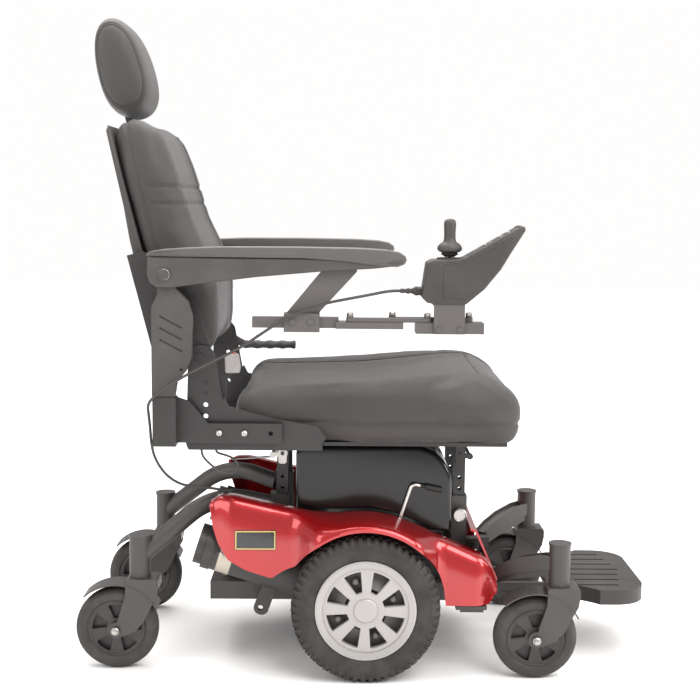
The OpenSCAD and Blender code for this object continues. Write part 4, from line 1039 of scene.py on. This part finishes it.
# ---------------------------------------------------------------- seat cushion
# Moulded foam in a sewn cover of charcoal vinyl: two raised bolsters, a dished centre panel of
# perforated vinyl, and a thick roll under the knees. Welted seams run along both bolsters.
def vinyl(name, colour, sunken, along, span):
    """sunken is where the perforated panel lies across, along is the pair that its holes follow."""
    finish = Finish(name, colour, 0.5, Specular_IOR_Level=0.42, Sheen_Weight=0.12, Sheen_Roughness=0.5)
    x, y, z = finish.axes()
    length = x * along[0] + z * along[1]
    soft = finish.noise(4, 4, 0.55)
    grain = finish.cells(1150, "DISTANCE_TO_EDGE").ramp(0.0, 0.12)
    crease = finish.noise(34, 5, 0.62, stretch=(1, 2.4, 1))
    panel = y.size().below(sunken) * length.above(span[0]) * length.below(span[1])
    holes = ((y * 785).sine() * (length * 785).sine()).size().ramp(0.80, 0.92) * panel
    lit = finish.blend(soft, tuple(part * 0.84 for part in colour), tuple(part * 1.28 for part in colour))
    finish.feed("Base Color", finish.blend(holes, lit, (0.008, 0.0075, 0.007)))
    finish.feed("Roughness", 0.31 + soft * 0.12 + holes * 0.30 + crease * 0.08)
    finish.bump(grain * 0.35 + crease * 0.60 - holes * 0.9, 0.0009)
    return finish.material


def rounded_end(x, low, high, rear_r, front_r, power=2.4):
    """1 along the middle of a cushion, falling to 0 round its two ends."""
    d = max((low + rear_r - x) / rear_r, (x - high + front_r) / front_r, 0)
    return max(1 - min(d, 1) ** power, 0) ** (1 / power)


def signed(value, power):
    return math.copysign(abs(value) ** power, value)


def bunched(t, share=0.55):
    """0 to 1 with the steps drawn in towards both ends."""
    return t * (1 - share) + (0.5 - 0.5 * math.cos(math.pi * t)) * share


def filled(piece, cap, voxel, pressure=4.0):
    """Blows a pad's cover up as stuffed cloth, no point moving further than cap."""
    bpy.ops.object.select_all(action="DESELECT")
    piece.select_set(True)
    bpy.context.view_layer.objects.active = piece
    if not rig.quick():
        skin_mesh = piece.modifiers.new("skin", "REMESH")
        skin_mesh.mode = "VOXEL"
        skin_mesh.voxel_size = voxel
        bpy.ops.object.modifier_apply(modifier="skin")
        even = piece.modifiers.new("even", "SMOOTH")
        even.iterations = 6
        bpy.ops.object.modifier_apply(modifier="even")
        cloth = piece.modifiers.new("cloth", "CLOTH")
        cloth.settings.use_pressure = True
        cloth.settings.uniform_pressure_force = pressure
        cloth.settings.quality = 4
        cloth.settings.effector_weights.gravity = 0
        for step in range(1, 21):
            scene.frame_set(step)
        swollen = piece.evaluated_get(bpy.context.evaluated_depsgraph_get()).data
        moves = [there.co - here.co for there, here in zip(swollen.vertices, piece.data.vertices)]
        piece.modifiers.remove(cloth)
        scene.frame_set(1)
        for vertex, move in zip(piece.data.vertices, moves):
            vertex.co += move * min(1, cap / max(move.length, 1e-9))
        relaxed = piece.modifiers.new("relaxed", "SMOOTH")
        relaxed.iterations = 10
        bpy.ops.object.modifier_apply(modifier="relaxed")
    rounder = piece.modifiers.new("rounder", "SUBSURF")
    rounder.levels = rounder.render_levels = 1
    bpy.ops.object.modifier_apply(modifier="rounder")


def grooved(piece, distance, depth=0.0032, width=0.0045):
    """Draws the cover in along its seams: distance(point) is how far a point is from the nearest."""
    normals = [vertex.normal.copy() for vertex in piece.data.vertices]
    for vertex, normal in zip(piece.data.vertices, normals):
        vertex.co -= normal * depth * math.exp(-(distance(vertex.co) / width) ** 2)


def welt(name, target, rays, body, radius=0.0021):
    """A piped edge laid on the cover where each ray meets it."""
    path = []
    for origin, direction in rays:
        spot, normal = on_surface(target, origin, direction)
        if spot:
            path.append(spot + normal * radius * 0.35)
    curve = bpy.data.curves.new(name, "CURVE")
    curve.dimensions = "3D"
    curve.bevel_depth = radius
    curve.bevel_resolution = 3
    curve.use_fill_caps = True
    spline = curve.splines.new("POLY")
    spline.points.add(len(path) - 1)
    for slot, point in zip(spline.points, path):
        slot.co = (*point, 1)
    piece = bpy.data.objects.new(name, curve)
    scene.collection.objects.link(piece)
    bpy.ops.object.select_all(action="DESELECT")
    piece.select_set(True)
    bpy.context.view_layer.objects.active = piece
    bpy.ops.object.convert(target="MESH")
    return done(bpy.context.object, body, "vinyl", WELT_VINYL, smooth=60)


SEAT_VINYL = vinyl("seat_vinyl", (0.038, 0.034, 0.033), 0.186, (1, 0), (-0.24, 0.235))
WELT_VINYL = vinyl("welt_vinyl", (0.028, 0.025, 0.024), 0.0, (1, 0), (0, 0))
SEAT_LOW, SEAT_HIGH = -0.286, 0.3315
CREST = [(-0.285, 0.629), (-0.18, 0.630), (0.0, 0.638), (0.12, 0.650), (0.19, 0.654), (0.27, 0.652),
         (0.329, 0.648)]
DISH = [(-0.285, 0.606), (-0.18, 0.603), (0.0, 0.606), (0.12, 0.621), (0.19, 0.636), (0.27, 0.642),
        (0.329, 0.640)]


def seat_spot(u, v):
    x = SEAT_LOW + (SEAT_HIGH - SEAT_LOW) * bunched(u, 0.8)
    turn = 2 * math.pi * v
    upper = math.sin(turn) > 0
    close = (rounded_end(x, SEAT_LOW, SEAT_HIGH, 0.040, 0.120) if upper
             else rounded_end(x, SEAT_LOW, SEAT_HIGH, 0.020, 0.034, 3.2))
    width = (0.262 + 0.013 * ease(x, -0.08, 0.0)
             - 0.030 * (1 - rounded_end(x, SEAT_LOW, SEAT_HIGH, 0.03, 0.06)))
    y = width * signed(math.cos(turn), 0.40 if upper else 0.18)
    crest, dish = between(CREST, x), between(DISH, x)
    top = dish + (crest - dish) * ease(abs(y), 0.150, 0.222)
    middle = 0.585
    if upper:
        return Vector((x, y, middle + math.sin(turn) ** 0.42 * (top - middle) * close))
    return Vector((x, y, middle - (-math.sin(turn)) ** 0.16 * (middle - 0.508) * close))


seat_pad = shaped("seat_cushion_visible", 56, 112, seat_spot)
filled(seat_pad, 0.009, 0.006)
for vertex in seat_pad.data.vertices:
    limit = 0.2665 + 0.012 * ease(vertex.co.x, -0.085, -0.05)
    vertex.co.y = max(-limit, min(limit, vertex.co.y))
    vertex.co.z = max(0.5085, vertex.co.z)
    vertex.co.x = max(-0.290, min(0.335, vertex.co.x))
SEAT_SEAM_Y, SEAT_ROLL_X = 0.192, 0.245


def seat_seams(spot):
    side = abs(abs(spot.y) - SEAT_SEAM_Y) if spot.z > 0.56 else 1
    roll = abs(spot.x - SEAT_ROLL_X) if spot.z > 0.6 and abs(spot.y) < SEAT_SEAM_Y else 1
    skirt = abs(spot.z - 0.552) if abs(spot.y) > 0.2 or spot.x > 0.25 else 1
    return min(side, roll, skirt)


grooved(seat_pad, seat_seams)
done(seat_pad, "seat", "vinyl", SEAT_VINYL, "seat_cushion", smooth=60)
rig.padded(seat_pad, fill=0.8)
for side in (-1, 1):
    rays = [((-0.272 + 0.01 * step, side * SEAT_SEAM_Y, 0.8), (0, 0, -1)) for step in range(56)]
    rays += [((0.5, side * SEAT_SEAM_Y, 0.622 - 0.008 * step), (-1, 0, 0)) for step in range(9)]
    welt(f"seat_welt_{'right' if side < 0 else 'left'}", seat_pad, rays, "seat")
rays = [((SEAT_ROLL_X, -0.19 + 0.01 * step, 0.8), (0, 0, -1)) for step in range(39)]
welt("seat_welt_front", seat_pad, rays, "seat", 0.0016)


# ---------------------------------------------------------------- back cushion and shell
# The backrest's foam swells in the small of the back and has a bolster down each side. Two seams
# cross its centre panel. A moulded shell of black plastic closes it behind.
TILT = math.radians(14.5)
RECLINE_PIN = Vector((-0.351, 0, 0.694))
BACK_FRONT = [(-0.012, 0.022), (0.05, 0.046), (0.127, 0.066), (0.212, 0.061), (0.279, 0.047), (0.403, 0.040),
              (0.48, 0.032), (0.521, 0.024), (0.545, 0.016)]


def on_back(u, v, y):
    """u runs up the backrest from its hinge, v forward from it."""
    return RECLINE_PIN + Vector((v * math.cos(TILT) - u * math.sin(TILT), y,
                                 v * math.sin(TILT) + u * math.cos(TILT)))


def back_coords(spot):
    x, z = spot.x - RECLINE_PIN.x, spot.z - RECLINE_PIN.z
    return z * math.cos(TILT) - x * math.sin(TILT), x * math.cos(TILT) + z * math.sin(TILT)


def back_spot(s, t):
    u = -0.014 + 0.534 * bunched(s, 0.8)
    turn = 2 * math.pi * t
    ahead_half = math.sin(turn) > 0
    close = (rounded_end(u, -0.014, 0.520, 0.040, 0.075) if ahead_half
             else rounded_end(u, -0.014, 0.520, 0.020, 0.045, 2.8))
    width = 0.244 - 0.030 * ease(u, 0.38, 0.56) - 0.03 * (1 - rounded_end(u, -0.014, 0.520, 0.03, 0.05))
    y = width * signed(math.cos(turn), 0.42 if ahead_half else 0.18)
    front = between(BACK_FRONT, u) - 0.016 * (1 - ease(abs(y), 0.120, 0.200))
    middle = -0.025
    if ahead_half:
        return on_back(u, middle + math.sin(turn) ** 0.5 * (front - middle) * close, y)
    return on_back(u, middle - (-math.sin(turn)) ** 0.20 * (middle + 0.064) * close, y)


back_pad = shaped("back_cushion_visible", 52, 104, back_spot)
filled(back_pad, 0.008, 0.006)
for vertex in back_pad.data.vertices:
    u, v = back_coords(vertex.co)
    u, v = max(-0.0198, min(0.5245, u)), max(-0.0658, v)
    vertex.co = on_back(u, v, max(-0.2498, min(0.2498, vertex.co.y)))


def back_seams(spot):
    u, v = back_coords(spot)
    if v < -0.02:
        return abs(v + 0.034)
    side = abs(abs(spot.y) - 0.165) if 0.02 < u < 0.48 else 1
    return min(side, abs(spot.z - 1.010), abs(spot.z - 1.046))


grooved(back_pad, back_seams)
BACK_VINYL = vinyl("back_vinyl", (0.038, 0.034, 0.033), 0.158,
                   (-math.sin(TILT), math.cos(TILT)), (0.72, 1.14))
done(back_pad, "back", "vinyl", BACK_VINYL, "back_cushion", smooth=60)
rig.padded(back_pad, fill=0.8)
ahead = on_back(0, 1, 0) - RECLINE_PIN
for side in (-1, 1):
    rays = [(on_back(0.03 + 0.0092 * step, 0.3, side * 0.165), -ahead) for step in range(50)]
    welt(f"back_welt_{'right' if side < 0 else 'left'}", back_pad, rays, "back")
shell_line = [on_back(u, v, 0) for u, v in (
    (-0.018, -0.0665), (-0.018, -0.086), (0.200, -0.0875), (0.270, -0.086), (0.340, -0.080), (0.500, -0.0745),
    (0.512, -0.0665))]
shell = slab("back_shell_visible", [(point.x, point.z) for point in shell_line], -0.236, 0.236, bevel=0.0045,
             segments=3)
done(shell, "back", "black_plastic", SHELL_PLASTIC, "back_shell")
for side, way in (("right", -1), ("left", 1)):
    heads = [turned("rail_screw", [(way * 0.2918, 0), (way * 0.2918, 0.0072), (way * 0.2935, 0.0072),
                                   (way * 0.2962, 0.0052), (way * 0.2972, 0.0030), (way * 0.2955, 0.0026),
                                   (way * 0.2955, 0)], (x, 0, 0.535), 20) for x in (-0.310, -0.257)]
    done(joined(f"rail_screws_{side}", heads), "seat", "steel", STEEL)


# ---------------------------------------------------------------- headrest
# A soft block pillow on a steel post, fuller low down, with its end panels sewn in by a welt.
def head_spot(s, t):
    y = 0.119 * (2 * bunched(s, 0.9) - 1)
    close = max(1 - abs(y / 0.119) ** 5, 0) ** 0.30
    turn = 2 * math.pi * t
    up = math.cos(turn)
    width = 0.058 - 0.007 * up + 0.004 * math.cos(2 * turn)
    return on_back(0.640 + 0.110 * signed(up, 0.92) * close, -0.032 + width * math.sin(turn) * close, y)


head_pad = shaped("headrest_visible", 44, 72, head_spot)
filled(head_pad, 0.006, 0.004)
grooved(head_pad, lambda spot: abs(abs(spot.y) - 0.100), 0.003, 0.004)
for vertex in head_pad.data.vertices:
    vertex.co.y = max(-0.1252, min(0.1252, vertex.co.y))
done(head_pad, "headrest", "vinyl", BACK_VINYL, "headrest_cushion", smooth=60)
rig.padded(head_pad, fill=0.85)
hub_point = on_back(0.640, -0.032, 0)
for side in (-1, 1):
    rays = []
    for step in range(73):
        angle = 2 * math.pi * step / 72
        away = on_back(0.640 + math.cos(angle), -0.032 + math.sin(angle), 0) - hub_point
        rays.append((hub_point + away * 0.3 + Vector((0, side * 0.100, 0)), -away))
    welt(f"headrest_welt_{'right' if side < 0 else 'left'}", head_pad, rays, "headrest", 0.0019)


# ---------------------------------------------------------------- armrests
# A tapered moulding on each side carries a long soft pad. It hinges up on a bolt through the arm
# post, whose plastic cover has three vents.
ARM_Y = 0.312
ARM_OUTLINE = [(-450, 903), (-451, 870), (-446, 852), (-432, 842), (-400, 841), (-330, 851), (-230, 864),
               (-100, 876), (10, 883), (52, 888), (66, 895), (70, 903)]
ARM_PLASTIC = pebbled("arm_plastic", (0.042, 0.038, 0.0365), 0.48)


def soft_touch():
    finish = Finish("arm_pad_skin", (0.066, 0.060, 0.057), 0.6, Sheen_Weight=0.15)
    wear = finish.noise(7, 4)
    finish.feed("Base Color", finish.blend(wear, (0.058, 0.052, 0.050), (0.080, 0.073, 0.069)))
    finish.feed("Roughness", 0.52 + wear * 0.16)
    finish.bump(finish.cells(1300) * 0.6 + finish.noise(60, 4) * 0.5, 0.0004)
    return finish.material


ARM_SKIN = soft_touch()
coat_nodes(ARM_PLASTIC, "arm_post_right", "arm_post_left")
arm = slab("arm_frame_right_visible", [(x / 1000, z / 1000) for x, z in ARM_OUTLINE], -ARM_Y - 0.027,
           -ARM_Y + 0.027, bevel=0.0065, segments=4)
bpy.ops.object.select_all(action="DESELECT")
bpy.ops.mesh.primitive_cube_add(size=1, location=(-0.422, -ARM_Y, 0.856))
throat = bpy.context.object
for vertex in throat.data.vertices:
    vertex.co = Vector((vertex.co.x * 0.096, vertex.co.y * 0.0232, vertex.co.z * 0.072))
opening = arm.modifiers.new("opening", "BOOLEAN")
opening.object = throat
bpy.ops.object.select_all(action="DESELECT")
arm.select_set(True)
bpy.context.view_layer.objects.active = arm
bpy.ops.object.modifier_apply(modifier="opening")
bpy.data.objects.remove(throat)


PAD_OUTLINE = [(-452, 904), (-453, 909), (-447, 913.5), (-425, 917.5), (-380, 921), (-300, 924.4),
               (-150, 925), (-20, 923.6), (35, 920.5), (62, 915.5), (73, 908), (76, 900), (71, 892),
               (57, 887), (30, 887.5), (0, 891.5), (-60, 898.5), (-130, 903), (-300, 904)]
arm_rest = slab("arm_pad_right_visible", [(x / 1000, z / 1000) for x, z in PAD_OUTLINE], -ARM_Y - 0.0308,
                -ARM_Y + 0.0308, bevel=0.0068, segments=5)
for vertex in arm_rest.data.vertices:
    draw_in = 0.40 + 0.60 * rounded_end(vertex.co.x, -0.4532, 0.0762, 0.030, 0.034, 2.0)
    vertex.co.y = -ARM_Y + (vertex.co.y + ARM_Y) * draw_in
for side, way in (("right", -1), ("left", 1)):
    frame_piece = moved_copy(arm, f"arm_frame_{side}_shown", mirror=way > 0)
    pad_piece = moved_copy(arm_rest, f"arm_pad_{side}_shown", mirror=way > 0)
    done(frame_piece, f"armrest_{side}", "black_plastic", ARM_PLASTIC, f"arm_frame_{side}")
    done(pad_piece, f"armrest_{side}", "arm_pad", ARM_SKIN, f"arm_pad_{side}", smooth=50)
    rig.padded(pad_piece, fill=0.9)
    bolt = turned(f"arm_bolt_{side}", [(way * 0.0275, 0), (way * 0.0275, 0.0115), (way * 0.030, 0.0115),
                                       (way * 0.0318, 0.0095), (way * 0.0318, 0.0052), (way * 0.0300, 0.0044),
                                       (way * 0.0300, 0)], (-0.416, way * ARM_Y, 0.868), steps=32)
    done(bolt, f"armrest_{side}", "steel", STEEL)
for piece in (arm, arm_rest):
    bpy.data.objects.remove(piece)


# ---------------------------------------------------------------- controller
# A wedge-shaped handset of black plastic on a bracket plate. Its stick has a mushroom grip and a
# ribbed rubber boot, and three keys sit on the sloped panel behind a glossy lip.
STICK = Vector((0.1635, -0.312, 0.899))
SLOPE = math.atan2(65, 114)
CASE_OUTLINE = [(106, 826), (117, 815.5), (134, 812), (196, 812), (232, 842), (266, 884), (286, 918),
                (314, 963), (313, 970), (306, 972), (192, 907), (180, 904), (128, 902), (116, 896)]
CASE_PLASTIC = pebbled("case_plastic", (0.030, 0.027, 0.026), 0.44, 1200)
BOOT_RUBBER = rubber("boot_rubber", (0.026, 0.024, 0.023), (0.040, 0.037, 0.035))
PANEL_BLACK = gloss_black()
PANEL_BLACK.name = "panel_black"
case = slab("controller_case_visible", [(x / 1000, z / 1000) for x, z in CASE_OUTLINE], -0.346, -0.278,
            bevel=0.0055, segments=4)
well_cut = turned("stick_well", [(-0.0084, 0), (-0.0084, 0.0268), (0.05, 0.0268), (0.05, 0)], STICK, 48, "Z")
hollow = case.modifiers.new("hollow", "BOOLEAN")
hollow.object = well_cut
bpy.ops.object.select_all(action="DESELECT")
case.select_set(True)
bpy.context.view_layer.objects.active = case
bpy.ops.object.modifier_apply(modifier="hollow")
bpy.data.objects.remove(well_cut)
cheeks = []
for y in (-0.3466, -0.2774):
    cheek = slab("case_cheek", [(0.150, 0.826), (0.192, 0.8235), (0.222, 0.848), (0.258, 0.892),
                                (0.276, 0.924), (0.289, 0.9475), (0.197, 0.897), (0.150, 0.892)],
                 y - 0.0006, y + 0.0006, bevel=0.0005, segments=1)
    cheeks.append(cheek)
entry = turned("lead_entry", [(-0.046, 0.0030), (-0.046, 0.0045), (-0.040, 0.0050), (-0.039, 0.0041),
                              (-0.034, 0.0044), (-0.033, 0.0056), (-0.028, 0.0060), (-0.027, 0.0048),
                              (-0.022, 0.0052), (-0.021, 0.0066), (-0.0175, 0.0070), (-0.0175, 0.0090),
                              (0.000, 0.0090), (0.000, 0.0030)], (0.110, -0.312, 0.837), 28, "X")
entry_grip = turned("entry_ring", [(-0.015, 0.0088), (-0.014, 0.0096), (-0.012, 0.0096), (-0.011, 0.0088)],
                    (0.110, -0.312, 0.837), 28, "X")
case = joined("controller_case_visible", [case, *cheeks, entry, entry_grip])
done(case, "controller", "black_plastic", CASE_PLASTIC, "controller_case")


def on_slope(along, height=0.0):
    """A point of the sloped key panel, along it from its foot and above it."""
    return (0.192 + along * math.cos(SLOPE) - height * math.sin(SLOPE),
            0.907 + along * math.sin(SLOPE) + height * math.cos(SLOPE))


panel = slab("key_panel", [on_slope(0.008, -0.0004), on_slope(0.120, -0.0004), on_slope(0.120, 0.0006),
                           on_slope(0.008, 0.0006)], -0.338, -0.286, bevel=0.0004, segments=2)
lip = slab("panel_lip", [on_slope(0.122, -0.001), on_slope(0.1315, -0.0035), on_slope(0.1315, 0.0004),
                         on_slope(0.127, 0.0016), on_slope(0.122, 0.0012)], -0.340, -0.284, bevel=0.0008,
           segments=3)
done(joined("key_panel", [panel, lip]), "controller", "black_plastic", PANEL_BLACK)
windows = []
PANEL_BUTTONS = ((0.052, 0, 0.034, 0.005), (0.086, -0.014, 0.011, 0.009), (0.086, 0.014, 0.011, 0.009),
                 (0.104, 0, 0.036, 0.006))
for along, across, wide, deep in PANEL_BUTTONS:
    front, rear = along - deep / 2, along + deep / 2
    windows.append(slab("panel_button", [on_slope(front, 0.0004), on_slope(rear, 0.0004),
                                         on_slope(rear, 0.0014), on_slope(front, 0.0014)],
                        -0.312 + across - wide / 2, -0.312 + across + wide / 2,
                        bevel=0.0005, segments=2))
KEY_GREY = pebbled("key_grey", (0.24, 0.225, 0.22), 0.42, 1500)
done(joined("panel_buttons", windows), "controller", "key_grey", KEY_GREY)
coat_nodes(KEY_GREY, "key_power", "key_horn", "key_speed")
boot = turned("stick_boot", [
    (0.0083, 0.003), (0.0083, 0.0095), (0.0120, 0.0148), (0.0128, 0.0172), (0.0140, 0.0180),
    (0.0150, 0.0170), (0.0152, 0.0158), (0.0162, 0.0166), (0.0172, 0.0156), (0.0175, 0.0142),
    (0.0184, 0.0146), (0.0190, 0.0134), (0.0190, 0.003)], STICK, 56, "Z")
collar = turned("stick_collar", [
    (0.0036, 0.0238), (0.0036, 0.0264), (0.0052, 0.0264), (0.0064, 0.0258), (0.0068, 0.0248),
    (0.0060, 0.0238)], STICK, 56, "Z")
done(collar, "controller", "black_plastic", BOOT_RUBBER, smooth=50)
stick = turned("stick_grip", [
    (0.0170, 0.003), (0.0170, 0.0150), (0.0186, 0.0205), (0.0215, 0.0246), (0.0250, 0.0254),
    (0.0295, 0.0245), (0.0345, 0.0205), (0.0375, 0.0160), (0.0400, 0.0131), (0.0470, 0.0118),
    (0.0560, 0.0117), (0.0680, 0.0122), (0.0760, 0.0124), (0.0805, 0.0116), (0.0840, 0.0090),
    (0.0855, 0.0050), (0.0858, 0)], STICK, 56, "Z")
done(boot, "joystick", "black_plastic", BOOT_RUBBER, "joystick", smooth=50)
done(stick, "joystick", "black_plastic", SHELL_PLASTIC, smooth=50)
nuts = []
for (x, y), body in (((-0.0385, -0.324), "slide_bar"), ((0.0487, -0.300), "slide_bar"),
                     ((0.1195, -0.324), "controller"), ((0.2067, -0.300), "controller")):
    nut = turned("link_nut", [(0.0040, 0), (0.0040, 0.0068), (0.0078, 0.0068), (0.0098, 0.0052),
                              (0.0106, 0.0024), (0.0108, 0)], (x, y, 0.7825), 6, "Z")
    done(nut, body, "steel", STEEL)


# ---------------------------------------------------------------- recline lever and lap belt
# The lever on the far side lets the backrest lean. The lap belt is black webbing with a grey
# buckle and a red release key.
LEVER_Y = 0.2763
grip_profile = [(-0.300, 0.0), (-0.300, 0.0085)]
for wave in range(25):
    share = wave / 24
    grip_profile.append((-0.298 + 0.126 * share, 0.0098 + 0.0012 * math.cos(2 * math.pi * 4 * share)))
grip_profile += [(-0.1705, 0.0080), (-0.1700, 0.0)]
grip = turned("lever_grip", grip_profile, (0, LEVER_Y + 0.008, 0.658), 28, "X")
crank = slab("lever_crank", arc((-0.330, 0.672), 0.0138, 60, 290, 16)
             + [(-0.315, 0.6575), (-0.296, 0.6475), (-0.292, 0.658), (-0.296, 0.668), (-0.315, 0.678)],
             LEVER_Y, LEVER_Y + 0.0078, bevel=0.0015, segments=2)
done(joined("recline_lever_visible", [grip, crank]), "recline_lever", "black_plastic", SHELL_PLASTIC,
     "recline_lever")


def webbing():
    finish = Finish("webbing", (0.018, 0.017, 0.017), 0.75, Sheen_Weight=0.3)
    x, y, z = finish.axes()
    weave = ((x * 2600 + z * 1500).sine() * (z * 2600 - x * 1500).sine()).size()
    finish.feed("Base Color", finish.blend(weave, (0.010, 0.0095, 0.0095), (0.034, 0.032, 0.031)))
    finish.feed("Roughness", 0.66 + weave * 0.2)
    finish.bump(weave, 0.0005)
    return finish.material


WEBBING = webbing()
BELT_Y = -0.264
strap = slab("belt_strap", [(-0.326, 0.575), (-0.298, 0.575), (-0.295, 0.644), (-0.277, 0.661),
                            (-0.300, 0.664), (-0.312, 0.640)],
             BELT_Y - 0.0014, BELT_Y + 0.0004, bevel=0.0004, segments=1)
buckle = slab("belt_buckle", [(-0.2985, 0.658), (-0.2685, 0.6585), (-0.2665, 0.672), (-0.2705, 0.699),
                              (-0.3000, 0.699)], BELT_Y - 0.0075, BELT_Y + 0.0075, bevel=0.0035, segments=4)
button = slab("belt_button", [(-0.2945, 0.6965), (-0.2755, 0.6965), (-0.2755, 0.7010), (-0.2945, 0.7010)],
              BELT_Y - 0.0045, BELT_Y + 0.0045, bevel=0.0012, segments=3)
done(strap, "seat", "webbing", WEBBING, "seat_belt")
done(buckle, "seat", "key_grey", KEY_GREY)
done(button, "seat", "red_gloss", RED)

with open("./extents.json", "w") as sizes:
    json.dump([[list(corner) for corner in box] for box in (cad_box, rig.bounds())], sizes)
